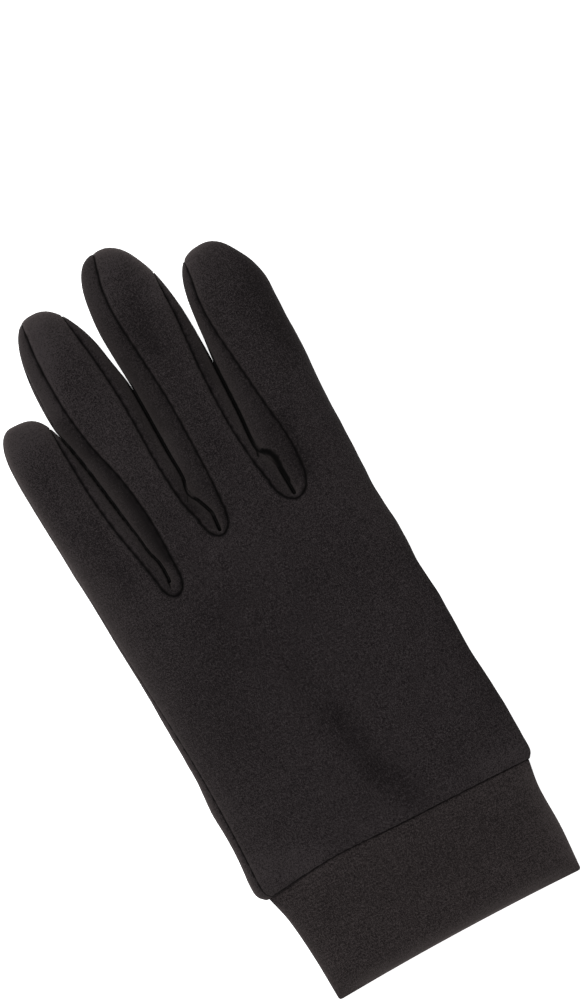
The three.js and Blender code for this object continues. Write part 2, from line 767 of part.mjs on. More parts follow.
const extent = new THREE.Box3().setFromObject(glove);
const centre = extent.getCenter(new THREE.Vector3());
glove.position.set(-centre.x, -centre.y, -extent.min.z);
glove.updateMatrixWorld(true);

export default glove;
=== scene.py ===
import math
from functools import partial

import bpy
import numpy as np
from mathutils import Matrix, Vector, kdtree


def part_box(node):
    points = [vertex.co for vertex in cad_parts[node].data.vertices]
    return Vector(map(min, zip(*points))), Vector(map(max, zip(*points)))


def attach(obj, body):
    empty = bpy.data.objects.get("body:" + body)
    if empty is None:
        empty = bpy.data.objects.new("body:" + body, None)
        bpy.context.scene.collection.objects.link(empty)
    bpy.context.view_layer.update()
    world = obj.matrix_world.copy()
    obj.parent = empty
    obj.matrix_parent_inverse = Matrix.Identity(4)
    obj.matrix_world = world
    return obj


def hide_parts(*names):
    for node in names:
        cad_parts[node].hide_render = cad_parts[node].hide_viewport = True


# Lengths are millimetres in the glove's own pattern frame: y = 0 at the hem, x = 0 on the middle of
# the wrist, and z up from the table. toFrame turns them into metres in the frame of the CAD part.

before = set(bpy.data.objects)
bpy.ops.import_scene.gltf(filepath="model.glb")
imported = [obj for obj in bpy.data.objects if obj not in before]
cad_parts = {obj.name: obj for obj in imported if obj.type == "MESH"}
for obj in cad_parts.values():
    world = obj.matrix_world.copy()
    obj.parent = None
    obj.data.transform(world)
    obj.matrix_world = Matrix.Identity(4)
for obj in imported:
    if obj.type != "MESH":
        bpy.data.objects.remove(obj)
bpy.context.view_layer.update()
bpy.ops.object.select_all(action="DESELECT")
print("frame loaded:", sorted(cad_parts))

glove = {
    "clothWall": 1.0,
    "handHeight": 10.0,
    "bandHeight": 9.0,
    "widestZ": 5.0,         # height of the widest line of hand and fingers
    "bandWidestZ": 4.5,
    "flatShare": 1.06,      # how far the table presses the underside flat
    "backShape": (5, 0.5),  # how square the hand's section is above its widest line
    "palmShape": (6, 1 / 3),    # and below it
    "crownRound": 0.75,     # how round a finger is above its widest line
    "padRound": 0.5,        # and below it
    "padTip": 0.7,          # how full the pad stays towards the fingertip
    "crownShift": 40.0,     # length over which a finger's crown runs over to its tip
    "fingerBlend": 20.0,    # length over which the flat hand becomes round fingers
    "touchGap": -0.06,      # fingers that lie side by side press into each other
    "outerBase": 2,         # the outer sides of the hand become fingers this far below a fork
    "leftmost": -55.11,     # x of the little finger's outer side
    "wristY": 38.0,
    "lowest": 0.02,         # the cloth stays this far above the table
    "smoothAngle": 50,
}

outerEdges = {
    "y":     [37, 39.3, 43, 55, 68, 85, 100, 115, 130, 145, 160, 175, 190, 205, 225],
    "left":  [-49.0, -51.0, -51.5, -51.2, -51.0, -50.8, -51.0, -51.5, -52.3, -53.0, -53.9, -54.8,
              -55.4, -55.4, -55.4],
    "right": [44.3, 45.7, 46.1, 45.8, 44.9, 44.2, 43.8, 43.2, 42.7, 42.5, 42.8, 43.3, 43.8, 44.0, 44.0],
}
sideSeam = {  # on the little finger side, seen on the back
    "share": (0.5, 0.12),   # its depth at the wrist, and from half its length on
    "ends":  (37.4, 204.8),
    "y":     [36, 60, 78, 93, 110, 130, 200],
    "inset": [2.5, 2.5, 2.2, 1.6, 0.9, 0.5, 0.4],
    "wrapSteps": 8, "wrapRound": 0.7,   # how the palm's cloth comes up round the edge to it
}
bandEdges = {"y": [0, 14, 28, 37], "left": [-44.0, -44.6, -46.0, -48.2], "right": [42.2, 43.0, 42.8, 44.0]}
seamLine = {"x": [-50, -25, 0, 25, 46], "y": [37.3, 39.5, 38.8, 38.2, 37.3]}

# Between two fingers: both seams and both fingers' sides at heights y. Below the fork the sides are one
# line, the crease. Branches are short creases beside it, branchShares their widths as shares of its own,
# and the number after depth is how far the painted shade in the crease reaches.
gaps = [
    {
        "name": "littleRing", "depth": 6, "black": 0.26,
        "branches": [[(-27.6, 141.0), (-25.3, 138.0)], [(-28.0, 140.0), (-28.6, 137.6)]],
        "branchShares": [0.8, 0.8], "meetEnd": (-28.0, 139.6),
        "y":         [140.5, 146, 150.5, 156, 162, 175, 188, 198, 207, 221, 236],
        "leftSeam":  [-31.4, -32.3, -33.1, -34.2, -35.3, -36.9, -37.6, -38.1, -39.5, -39.5, -39.5],
        "leftSide":  [-27.8, -28.0, -29.3, -30.0, -31.0, -32.9, -35.0, -36.9, -36.7, -36.7, -36.7],
        "rightSide": [-27.8, -28.0, -29.3, -30.0, -31.0, -32.9, -35.0, -37.2, -37.6, -37.1, -36.6],
        "rightSeam": [-24.0, -24.0, -24.0, -24.1, -24.4, -26.3, -29.6, -31.2, -31.9, -31.9, -30.2],
    },
    {
        "name": "ringMiddle", "depth": 7.5, "black": 0.46,
        "branches": [[(-9.8, 161.0), (-11.2, 158.5)]], "branchShares": [0.8], "meetEnd": (-6.5, 146.2),
        "y":         [152, 157, 161, 166, 175, 190, 200, 210, 220, 230, 241],
        "leftSeam":  [-10.8, -12.2, -12.8, -13.3, -13.8, -14.0, -14.4, -15.3, -16.6, -18.2, -19.0],
        "leftSide":  [-6.0, -7.8, -9.8, -8.9, -9.2, -9.4, -9.8, -11.6, -12.6, -13.4, -13.5],
        "rightSide": [-6.0, -7.8, -9.8, -8.9, -9.2, -9.4, -9.6, -10.2, -10.5, -10.4, -10.2],
        "rightSeam": [-2.0, -1.7, -1.6, -1.5, -1.4, -1.6, -2.3, -3.1, -3.8, -3.3, -0.4],
    },
    {
        "name": "middleIndex", "depth": 9, "black": 0.75,
        "branches": [[(16.6, 162.2), (18.0, 160.6), (19.3, 157.6)], [(19.3, 157.6), (19.8, 149.5)],
                     [(15.8, 163.0), (14.9, 160.5)]],
        "branchShares": [(0.9, 2.2), (2.2, 1.0), 0.8], "meetEnd": (19.4, 145.2),
        "y":         [152.5, 157, 160, 162.5, 166, 175, 192, 202, 212, 222, 241],
        "leftSeam":  [14.2, 13.4, 13.0, 12.8, 12.5, 11.9, 12.1, 12.8, 13.6, 13.7, 12.9],
        "leftSide":  [19.1, 19.0, 17.9, 15.8, 15.5, 16.1, 16.6, 16.5, 16.0, 15.2, 14.4],
        "rightSide": [19.1, 19.0, 17.9, 15.8, 15.5, 16.1, 16.6, 17.6, 18.4, 18.4, 18.4],
        "rightSeam": [25.8, 26.1, 26.0, 25.8, 25.5, 24.4, 22.6, 21.6, 21.5, 23.0, 25.0],
    },
]

fingers = [
    {"name": "little", "tipX": -48, "tipY": 205.6, "capY": 190, "round": (2.6, 2.6), "height": 10.4},
    {"name": "ring", "tipX": -26.3, "tipY": 233.5, "capY": 208, "round": (2.55, 2.2), "height": 11.2},
    {"name": "middle", "tipX": 0.6, "tipY": 241.2, "capY": 215, "round": (2.6, 2.15), "height": 11.4},
    {"name": "index", "tipX": 30.5, "tipY": 227.8, "capY": 205, "round": (2.6, 2.0), "height": 11.2},
]

# The thumb's own frame: u from its root to its tip along its side seam, v across it
thumb = {
    "rootX": 24, "rootY": 45, "lean": 25.9, "height": 6.6, "tipU": 120, "tipV": 11.6, "capU": 98,
    "roundness": 2.3, "plump": 0.6, "crotchU": 52.7, "rootBlend": 16, "freeBlend": 14,
    "rootDepth": 0.2, "loopGap": 0.35, "girth": 70, "crowding": 0.25, "sideSeam": (4, 119.5), "wave": 0.2,
    "loopInset": 0.3, "loopTop": 9,     # the palm is cut open up to this height
    "u":     [-2.2, -1.2, 2, 8.7, 17.7, 29.9, 36.7, 44, 52.7, 63.9, 78, 94, 107, 120],
    "left":  [4.0, 2.6, 1.2, 0.8, 1.3, 0.7, 0.0, -0.6, -1.1, -1.7, -2.5, -3.3, -2.6, -2.0],
    "right": [4.0, 10.0, 14.3, 20.9, 25.3, 30.1, 32.0, 34.0, 35.6, 33.3, 29.3, 25.6, 21.8, 18.0],
    "sewn":  [4.0, -0.3, -2.9, -5.4, -6.0, -5.3, 0.0, 15.0, 35.6, 33.3, 29.3, 25.6, 21.8, 18.0],
}
# The swell over it, in the thumb's frame. Each pair is where it starts to rise or fall and over how far.
palmLift = {"height": 7.0, "v": ((-19, 10), (58, -16)), "u": ((-36, 24), (140, -16))}
backLift = {"height": 4.9, "v": ((-70, 66), (130, -90)), "u": ((-45, 55), (172, -67))}
liftBlend = (16, 30)        # above the forks the palm's swell turns into the back's


def rowsOf(columns, rows):
    return [dict(zip(columns, row)) for row in rows]


foldEnds = 0.35             # a fold's share of its rise at its two ends
# Soft folds and dents, each along a line, seen on the back (face 1) or on the palm (face -1)
folds = rowsOf(("face", "from", "to", "width", "rise"), [
    (1, (-3, 88), (0.5, 58), 4.4, -1.6),
    (1, (1, 58), (8.5, 44.5), 4.0, -1.2),
    (1, (-39, 168), (-37, 134), 3.6, -0.8),
    (1, (9, 170), (12, 143), 3.4, -0.8),
    (1, (-17, 168), (-14, 143), 3.4, -0.7),
    (1, (3, 203), (2, 224), 3.0, -2.0),
    (1, (7, 226), (9, 216), 3.2, -1.0),
    (1, (-25, 180), (-25, 214), 3.2, -0.4),
    (1, (-30, 128), (-40, 96), 7.0, -0.4),
    (1, (18, 120), (14, 92), 9.0, 0.5),
    (1, (31, 170), (33, 205), 3.5, -0.4),
    (1, (-46, 150), (-47, 185), 3.0, -0.35),
    (-1, (-30, 120), (-34, 60), 5.0, -0.7),
    (-1, (-12, 60), (-22, 100), 4.0, -0.6),
])

# Painted light and shade on the back: soft zones, each along a line, painted darker for the shade in dents,
# folds and hollows and lighter where the cloth catches light. A zone that names a piece is on that piece
# alone.
paintedLightAndShadeZones = rowsOf(("from", "to", "width", "tone", "piece"), [
    ((-5, 97), (-2.5, 80), 6.0, -0.07),
    ((-2, 77), (0.5, 58), 4.2, -0.2),
    ((2.5, 54), (6.5, 45), 4.8, -0.17),
    ((39, 186), (38.5, 213), 4.5, -0.15),
    ((-22, 122), (-34, 88), 11.0, -0.11),
    ((-6, 108), (24, 122), 13.0, -0.05),
    ((-46, 46), (-34, 42), 7.0, 0.19),
    ((34, 41), (46, 41), 4.5, 0.15),
    ((-30, 42), (34, 42), 3.5, 0.05),
    ((43, 4), (43, 34), 5.0, 0.18),
    ((46.5, 60), (43.5, 222), 4.2, -0.26),
    ((-34, 26), (36, 24), 8.0, -0.07),
    ((-51, 199), (-42, 205), 6.5, 0.3),
    ((-35, 206), (-29, 232), 5.5, 0.4),
    ((-28, 222), (-22, 231), 6.0, 0.13),
    ((-7, 226), (4, 240), 5.0, 0.2),
    ((21, 217), (26, 226), 4.0, 0.2),
    ((14, 219), (12, 230), 3.0, 0.1),
    ((14, 188), (14.5, 212), 2.6, -0.22),
    ((24, 150), (22, 208), 3.6, -0.12),
    ((26.5, 150), (27.2, 168), 2.0, -0.2),
    ((33, 150), (33, 215), 8.0, -0.06),
    ((5, 165), (4, 214), 4.5, -0.09),
    ((-42, 142), (-43, 166), 5.0, -0.09),
    ((-33, 154), (-35.5, 176), 2.2, 0.22),
    ((-25, 147), (-25.5, 166), 2.6, -0.72, "fourchetteLittleRing"),
    ((-26, 168), (-30, 188), 2.4, -0.44, "fourchetteLittleRing"),
    ((-3, 150), (-3.5, 214), 3.0, -0.12),
    ((4.5, 223), (3, 205), 2.4, -0.16),
    ((-8.8, 184), (-9.4, 206), 2.5, -0.46),
    ((-33, 187), (-34.5, 199), 2.2, -0.3),
    ((-10.5, 156), (-9, 166), 2.3, -0.36, "fourchetteRingMiddle"),
])


quarter = math.pi / 2


def mix(a, b, t):
    return a + (b - a) * t


def ease(t):
    c = np.clip(t, 0, 1)
    return c * c * (3 - 2 * c)


# 0 up to the start of a span (start, length) and 1 past its end. A negative length looks the other way.
def fadeIn(value, span):
    start, length = span
    return ease((value - start) / length)


def bell(value, width, power=2):
    return np.exp(-(value / width) ** power)


def curveThrough(table, column, key="y"):
    at, value = np.array(table[key], float), np.array(table[column], float)
    before = np.maximum(np.arange(len(at)) - 1, 0)
    after = np.minimum(np.arange(len(at)) + 1, len(at) - 1)
    slope = (value[after] - value[before]) / (at[after] - at[before])

    def read(where):
        where = np.asarray(where, float)
        i = np.clip(np.searchsorted(at, where, side="right") - 1, 0, len(at) - 2)
        width = at[i + 1] - at[i]
        t = np.clip((where - at[i]) / width, 0, 1)
        bend = t * (1 - t) * width * ((1 - t) * slope[i] - t * slope[i + 1])
        return mix(value[i], value[i + 1], ease(t)) + bend

    return read


handLeft = curveThrough(outerEdges, "left")
handRight = curveThrough(outerEdges, "right")
seamInset = curveThrough(sideSeam, "inset")
bandLeft = curveThrough(bandEdges, "left")
bandRight = curveThrough(bandEdges, "right")
wristSeam = curveThrough(seamLine, "y", "x")


def closingSide(gap, column, push):
    side = curveThrough(gap, column)
    baseY, (endX, endY) = gap["y"][0], gap["meetEnd"]

    def read(y):
        y = np.asarray(y, float)
        t = np.clip((baseY - y) / max(0.1, baseY - endY), 0, 1)
        return np.where(y >= baseY, side(y), mix(side(baseY), endX, t)) + push * glove["touchGap"] / 2

    return read


seamMeets = 0.985
# How many points each seam's line has before it is cut into even steps
seamPoints = {"meeting": 1200, "arm": 120, "cap": 60, "notch": 60, "side": 160, "wrist": 300, "loop": 61,
              "thumb": 200, "valley": 140}

for gap in gaps:
    gap["x"] = (gap["leftSeam"][0] + gap["rightSeam"][0]) / 2
    gap["halfWidth"] = (gap["rightSeam"][0] - gap["leftSeam"][0]) / 2
    for side, push in (("left", -1), ("right", 1)):
        gap[side + "SeamAt"] = curveThrough(gap, side + "Seam")
        gap[side + "SideAt"] = closingSide(gap, side + "Side", push)

for finger, before, after in zip(fingers, [None, *gaps], [*gaps, None]):
    finger["left"] = before["rightSideAt"] if before else handLeft
    finger["right"] = after["leftSideAt"] if after else handRight
    finger["leftSeam"] = before["rightSeamAt"] if before else None
    finger["rightSeam"] = after["leftSeamAt"] if after else None
    finger["leftBaseY"] = before["y"][0] if before else after["y"][0] - glove["outerBase"]
    finger["rightBaseY"] = after["y"][0] if after else before["y"][0] - glove["outerBase"]


# A seam ends where it runs out over the fingertip's outline
def findSeamEnd(finger, side):
    seam = finger["leftSeam"] if side < 0 else finger["rightSeam"]
    y = mix(finger["capY"], finger["tipY"], np.sin(np.linspace(0, quarter, seamPoints["meeting"])[:-1]))
    reach = (seam(y) - crownX(finger, y)) * side
    outline = sideReach(finger, y, side) * capWidth(finger, y, side * quarter)
    met = np.nonzero(reach >= outline * seamMeets)[0]
    return float(y[met[0]]) if len(met) else float(y[-1])


fingerLine = curveThrough(
    {"x": [-55] + [gap["x"] for gap in gaps] + [45],
     "y": [fingers[0]["leftBaseY"]] + [gap["y"][0] for gap in gaps] + [fingers[3]["rightBaseY"]]},
    "y", "x")

leanSin, leanCos = math.sin(math.radians(thumb["lean"])), math.cos(math.radians(thumb["lean"]))


def thumbToGlove(u, v):
    return thumb["rootX"] - u * leanSin + v * leanCos, thumb["rootY"] + u * leanCos + v * leanSin


def gloveToThumb(x, y):
    dx, dy = x - thumb["rootX"], y - thumb["rootY"]
    return -dx * leanSin + dy * leanCos, dx * leanCos + dy * leanSin


def swell(lift, u, v):
    across = fadeIn(v, lift["v"][0]) * fadeIn(v, lift["v"][1])
    along = fadeIn(u, lift["u"][0]) * fadeIn(u, lift["u"][1])
    return across * along * lift["height"]


# share is 1 on the back and 0 on the palm
def liftAt(x, y, share):
    u, v = gloveToThumb(x, y)
    back = swell(backLift, u, v)
    palm = mix(swell(palmLift, u, v), back, fadeIn(y - fingerLine(x), liftBlend))
    return mix(palm, back, share)


# level is 1 on the crown of a section and 0 at its widest line
def faceZ(face, level, height, widest):
    back = widest + (height - widest) * level
    pressed = np.maximum(0, widest - widest * glove["flatShare"] * level)
    return np.where(face > 0, back, pressed)


def lifted(x, y, z, face, level):
    return np.stack([x, y, z + liftAt(x, y, 0.5 + face * level / 2)], axis=-1)


# Across the flat hand or band: s is 0 on its middle and 1 on its widest line
def flatLevel(s, face):
    (backPower, backRoot), (palmPower, palmRoot) = glove["backShape"], glove["palmShape"]
    return np.where(face > 0, (1 - s ** backPower) ** backRoot, (1 - s ** palmPower) ** palmRoot)


def handPoint(x, y, face):
    middle = (handLeft(y) + handRight(y)) / 2
    half = (handRight(y) - handLeft(y)) / 2
    level = flatLevel(np.clip(np.abs(x - middle) / half, 0, 1), face)
    return lifted(x, y, faceZ(face, level, glove["handHeight"], glove["widestZ"]), face, level)


# The share of the full width that a rounded end has left, along from 0 where it starts to 1 at its tip
def endWidth(along, roundness):
    return (1 - along ** roundness) ** (1 / roundness)


def capWidth(finger, y, towards):
    along = np.clip((y - finger["capY"]) / (finger["tipY"] - finger["capY"]), 0, 1)
    left, right = (endWidth(along, roundness) for roundness in finger["round"])
    return mix(left, right, 0.5 + 0.5 * np.sin(np.clip(towards, -quarter, quarter)))


def crownX(finger, y):
    middle = (finger["left"](y) + finger["right"](y)) / 2
    return mix(middle, finger["tipX"], ease((y - finger["capY"]) / glove["crownShift"] + 1))


def sideReach(finger, y, towards):
    crown = crownX(finger, y)
    return np.where(towards < 0, crown - finger["left"](y), finger["right"](y) - crown)


# turn is the angle round a finger's section, 0 on its crown and a quarter turn on its sides
def fingerPoint(finger, y, turn, face):
    width = capWidth(finger, y, turn)
    x = crownX(finger, y) + sideReach(finger, y, turn) * width * np.sin(turn)
    roundness = np.clip(np.cos(turn), 0, 1)
    level = np.where(face > 0, width * roundness ** glove["crownRound"],
                     width ** glove["padTip"] * roundness ** glove["padRound"])
    return lifted(x, y, faceZ(face, level, finger["height"], glove["widestZ"]), face, level)


def seamTurn(finger, y, seamX):
    reach = seamX - crownX(finger, y)
    side = sideReach(finger, y, reach) * capWidth(finger, y, np.sign(reach) * quarter)
    return np.arcsin(np.clip(reach / np.maximum(0.01, side), -1, 1))


def edgeTurns(finger, y, face):
    if finger["leftSeam"]:
        left = seamTurn(finger, y, finger["leftSeam"](y))
    elif face > 0:
        left = -np.arcsin(1 - seamInset(y) / sideReach(finger, y, -1))
    else:
        left = -quarter + 0 * y
    right = seamTurn(finger, y, finger["rightSeam"](y)) if finger["rightSeam"] else quarter + 0 * y
    return left, right


def blendedPoint(finger, y, turn, face):
    rounded = fingerPoint(finger, y, turn, face)
    flat = handPoint(rounded[..., 0], y, face)
    share = ease((y - fingerLine(rounded[..., 0])) / glove["fingerBlend"])
    return mix(flat, rounded, share[..., None])


def stripPoint(finger, y, across, face):
    left, right = edgeTurns(finger, y, face)
    return blendedPoint(finger, y, mix(left, right, across), face)


def notchAngles(steps):
    return math.pi + math.pi * np.linspace(0, 1, steps + 1)[1:-1]


def notchPoint(gap, angle):
    return gap["x"] + gap["halfWidth"] * np.cos(angle), gap["y"][0] + gap["depth"] * np.sin(angle)


for finger in fingers:
    finger["seamEnds"] = []
for gap, left, right in zip(gaps, fingers, fingers[1:]):
    gap["fingers"] = (left, right)
    gap["leftEnd"], gap["rightEnd"] = findSeamEnd(left, 1), findSeamEnd(right, -1)
    left["seamEnds"].append(gap["leftEnd"])
    right["seamEnds"].append(gap["rightEnd"])
    print("seams of", gap["name"], "end at", round(gap["leftEnd"], 1), round(gap["rightEnd"], 1))


# Rows of points grow into one mesh. Rows may share points, which are found by their place.
class Cloth:
    def __init__(self):
        self.points, self.faces, self.uvs, self.known = [], [], [], {}

    def addGrid(self, grid, uv, flip=False):
        rows, columns = grid.shape[:2]
        index = np.zeros((rows, columns), int)
        for r in range(rows):
            for c in range(columns):
                key = tuple(np.round(grid[r, c], 3))
                if key not in self.known:
                    self.known[key] = len(self.points)
                    self.points.append(grid[r, c])
                    self.uvs.append(uv[r, c])
                index[r, c] = self.known[key]
        for r in range(rows - 1):
            for c in range(columns - 1):
                corners = [index[r, c], index[r, c + 1], index[r + 1, c + 1], index[r + 1, c]]
                corners = [n for k, n in enumerate(corners) if n != corners[k - 1]]
                if len(set(corners)) > 2:
                    self.faces.append(corners[::-1] if flip else corners)
        return index


# Faces as a table of four corners, the last one -1 in a triangle
def cornerTable(faces):
    return np.array([list(face) + [-1] * (4 - len(face)) for face in faces])


def vertexNormals(points, faces):
    corners = np.where(faces < 0, faces[:, 2:3], faces)
    a, b, c, d = (points[corners[:, k]] for k in range(4))
    normal = np.cross(c - a, d - b)
    normals = np.zeros_like(points)
    for k in range(4):
        np.add.at(normals, corners[:, k], normal * (faces[:, k:k + 1] >= 0))
    return normals / np.maximum(np.linalg.norm(normals, axis=1, keepdims=True), 1e-9)


# long and short are each a wave length and the seed of its directions
waves = {"count": 9, "upright": 0.4, "lengths": (0.7, 1.4), "long": (26, 3), "short": (11, 5),
         "shortShare": 0.45, "height": 0.16}


# Cloth waves: a few plane waves of about one length, with fixed random directions
def ripple(points, length, seed):
    random = np.random.default_rng(seed)
    total = np.zeros(len(points))
    for _ in range(waves["count"]):
        direction = random.normal(size=3) * (1, 1, waves["upright"])
        direction *= 2 * math.pi / length / np.linalg.norm(direction) * random.uniform(*waves["lengths"])
        total += np.sin(points @ direction + random.uniform(0, 2 * math.pi))
    return total / math.sqrt(waves["count"])


# A soft stroke along a straight line, 1 on the line: its strength and how far along the line a point lies
def strokeAt(points, stroke):
    start, end = np.array(stroke["from"], float), np.array(stroke["to"], float)
    run = end - start
    t = np.clip((points[:, :2] - start) @ run / (run @ run), 0, 1)
    distance = np.linalg.norm(points[:, :2] - start - t[:, None] * run, axis=1)
    return bell(distance, stroke["width"]), t


def foldRise(points, face):
    total = np.zeros(len(points))
    for fold in folds:
        if fold["face"] == face:
            strength, t = strokeAt(points, fold)
            total += fold["rise"] * strength * mix(foldEnds, 1, np.sin(math.pi * t))
    return total


def heightAbove(points):
    return points[:, 2] - glove["widestZ"] - liftAt(points[:, 0], points[:, 1], 0.5)


# Painted light and shade: the zones' tone, on the upper cloth only
def paintedLightAndShade(points, name):
    zones = [zone for zone in paintedLightAndShadeZones if zone.get("piece", name) == name]
    total = sum(zone["tone"] * strokeAt(points, zone)[0] for zone in zones)
    return total * fadeIn(heightAbove(points), edgeLight["zonesAbove"])


# Cloth that stands on edge gets a painted highlight for the light it catches. This fades out towards the
# index side, and the palm has it only where it comes up round the little finger side and at the fingertips.
# Pairs are spans of fadeIn.
edgeLight = {"right": (28, 10), "least": 0.05, "left": (-44, -5), "tips": (190, 15), "above": (1.5, 3),
             "dim": 0.4, "dimAt": 115, "dimLength": 25, "zonesAbove": (-0.8, 1)}


def edgeShare(points, name):
    x, y, z = points.T
    share = mix(1, edgeLight["least"], fadeIn(x, edgeLight["right"]))
    if name == "palmPanel":
        onSideOrTips = np.maximum(fadeIn(x, edgeLight["left"]), fadeIn(y, edgeLight["tips"]))
        share *= onSideOrTips * fadeIn(z, edgeLight["above"])
        share *= 1 - edgeLight["dim"] * bell(y - edgeLight["dimAt"], edgeLight["dimLength"])
    return share


seams = {
    "groove": 1.0, "grooveWidth": 0.6, "grooveShape": 1.4, "lip": 0.14, "lipAt": 1.5, "lipWidth": 0.8,
    "pucker": 0.1, "puckerPitch": 4.2, "puckerDrift": 7.3, "puckerSway": 1.7, "puckerReach": 3.2,
    "puckerFrom": 0.6, "step": 0.3, "apart": 37.0, "tipFade": 9.0, "tipShare": 0.25, "wristShare": 0.26,
    "reach": 0.8,           # scale of the painted shade in the creases between fingers, against the seams' dark
    "thinnest": 0.3, "uneven": 0.25, "unevenPitch": 0.6, "unevenDrift": 4.1, "unevenSway": 2,
    "waves": (0.5, 4),      # the waves of the cloth begin this far from a seam
}
# The crease where two fingers lie against each other
creases = {"depth": 0.5, "width": 0.5, "above": (0.4, 1.2), "fromSeam": (0.6, 1.5), "waves": (0.5, 3),
           "opens": 0.05}   # the fork is where the fingers' sides are this far apart


# The length run along a line of points, at each of them
def runOf(line):
    return np.cumsum(np.append(0, np.linalg.norm(np.diff(line, axis=0), axis=1)))


# A seam is a dense line of points, each with its distance along the seam and its depth there
class SeamTree:
    def __init__(self, lines, fadeEnds=True, shares=None):
        runs, places, depths = [], [], []
        for line, share in zip(lines, shares or [1] * len(lines)):
            run = runOf(line)
            at = np.arange(0, run[-1], seams["step"])
            places.append(np.stack([np.interp(at, run, line[:, k]) for k in range(3)], axis=1))
            runs.append(at + seams["apart"] * len(runs))
            toEnd = np.minimum(at, run[-1] - at) if fadeEnds else np.full_like(at, seams["tipFade"])
            first, last = share if isinstance(share, tuple) else (share, share)
            along = mix(first, last, np.clip(at / run[-1] * 2, 0, 1))
            depths.append(along * mix(seams["tipShare"], 1, ease(toEnd / seams["tipFade"])))
        self.places, self.runs, self.depths = (np.concatenate(part) for part in (places, runs, depths))
        self.tree = kdtree.KDTree(len(self.places))
        for i, place in enumerate(self.places):
            self.tree.insert(place, i)
        self.tree.balance()

    def near(self, points):
        found = [self.tree.find(point) for point in points]
        index = [f[1] for f in found]
        return np.array([f[2] for f in found]), self.runs[index], self.depths[index]


def seamRise(distance, run, depth, pucker=1.0):
    rise = -seams["groove"] * depth * bell(distance, seams["grooveWidth"], seams["grooveShape"])
    rise += seams["lip"] * depth * bell(distance - seams["lipAt"], seams["lipWidth"])
    sway = seams["puckerSway"] * np.sin(run / seams["puckerDrift"])
    beat = np.sin(2 * math.pi * run / seams["puckerPitch"] + sway)
    reach = bell(distance, seams["puckerReach"]) * ease(distance / seams["puckerFrom"])
    return rise + pucker * depth * seams["pucker"] * beat * reach


# The cloth's outer face gets seams, folds and waves, then an inner face one wall further in and a rim
def finishCloth(cloth, name, seamTree, wave=waves["height"], face=0, pucker=1.0, valley=None):
    points, faces = np.array(cloth.points), cornerTable(cloth.faces)
    normals = vertexNormals(points, faces)
    # Share of the painted highlight where the cloth stands on edge
    paintedHighlightShare = (1 - np.abs(normals[:, 2])) * edgeShare(points, name)
    distance, run, depth = seamTree.near(points)
    rise = seamRise(distance, run, depth, pucker)
    away = fadeIn(distance, seams["waves"])
    if valley:
        inValley, _, strength = valley.near(points * (1, 1, 0))
        inValley = inValley / strength
        away *= fadeIn(inValley, creases["waves"])
        rise -= (creases["depth"] * bell(inValley, creases["width"])
                 * fadeIn(heightAbove(points), creases["above"]) * fadeIn(distance, creases["fromSeam"]))
        # Painted shade in the crease between two fingers, carried with the seams' dark
        distance = np.minimum(distance, seams["reach"] * (inValley / valley.black) ** 2)
    distance = distance / mix(seams["thinnest"], 1, depth)
    sway = seams["unevenSway"] * np.sin(run / seams["unevenDrift"])
    distance *= 1 + seams["uneven"] * np.sin(run / seams["unevenPitch"] + sway)
    swells = ripple(points, *waves["long"]) + waves["shortShare"] * ripple(points, *waves["short"])
    rise += wave * away * swells
    if face:
        rise += foldRise(points, face) * away
    outer = points + normals * rise[:, None]
    outer[:, 2] = np.maximum(outer[:, 2], glove["lowest"])
    normals = vertexNormals(outer, faces)
    inner = outer - normals * glove["clothWall"]
    count = len(points)
    edges = set()
    for f in cloth.faces:
        edges.update(zip(f, f[1:] + f[:1]))
    rim = [[b, a, count + a, count + b] for a, b in edges if (b, a) not in edges]
    back = [[count + n for n in f[::-1]] for f in cloth.faces]
    marks = {"seamAndCreaseShadeDistance": np.tile(distance, 2), "paintedHighlightShare": np.concatenate([paintedHighlightShare, 0 * paintedHighlightShare]),
             "paintedLightAndShade": np.tile(paintedLightAndShade(points, name), 2)}
    return makeMesh(name, np.concatenate([outer, inner]), cloth.faces + back + rim, cloth.uvs * 2, marks)


def toFrame(points):
    shift = np.array([frameShift[0], frameShift[1], 0])
    return (np.asarray(points, float) + shift) / 1000


# clothMap is the pattern laid flat, one unit for 100 mm. The marks are what the materials read.
def makeMesh(name, points, faces, uvs, marks):
    mesh = bpy.data.meshes.new(name)
    mesh.from_pydata(toFrame(points).tolist(), [], [[int(n) for n in f] for f in faces])
    layer = mesh.uv_layers.new(name="clothMap")
    corner = np.zeros(len(mesh.loops), int)
    mesh.loops.foreach_get("vertex_index", corner)
    layer.data.foreach_set("uv", (np.array(uvs, float)[corner] / 100).ravel())
    for attribute, values in marks.items():
        column = mesh.attributes.new(attribute, "FLOAT", "POINT")
        column.data.foreach_set("value", values.astype(np.float32))
    piece = bpy.data.objects.new(name, mesh)
    bpy.context.scene.collection.objects.link(piece)
    bpy.ops.object.select_all(action="DESELECT")
    bpy.context.view_layer.objects.active = piece
    piece.select_set(True)
    bpy.ops.object.shade_smooth_by_angle(angle=math.radians(glove["smoothAngle"]))
    mesh.validate()
    return piece


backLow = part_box("back_panel")[0]
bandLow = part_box("wrist_band")[0]
frameShift = (backLow.x * 1000 - glove["leftmost"], bandLow.y * 1000)

fineness = {"stripColumns": 26, "notchColumns": 14, "handRows": 84, "fingerRows": 72, "capRows": 16,
            "sectionSteps": 16, "thumbRows": 150, "thumbColumns": 120, "gathering": 0.75,
            "seamRows": [0, 0.18, 0.4, 0.7, 1.1, 1.6, 2.2, 3.0, 4.0]}


# Columns lie closer together beside the seams
def gathered(count):
    t = np.linspace(0, 1, count + 1)
    return mix(t, 0.5 - 0.5 * np.cos(math.pi * t), fineness["gathering"])


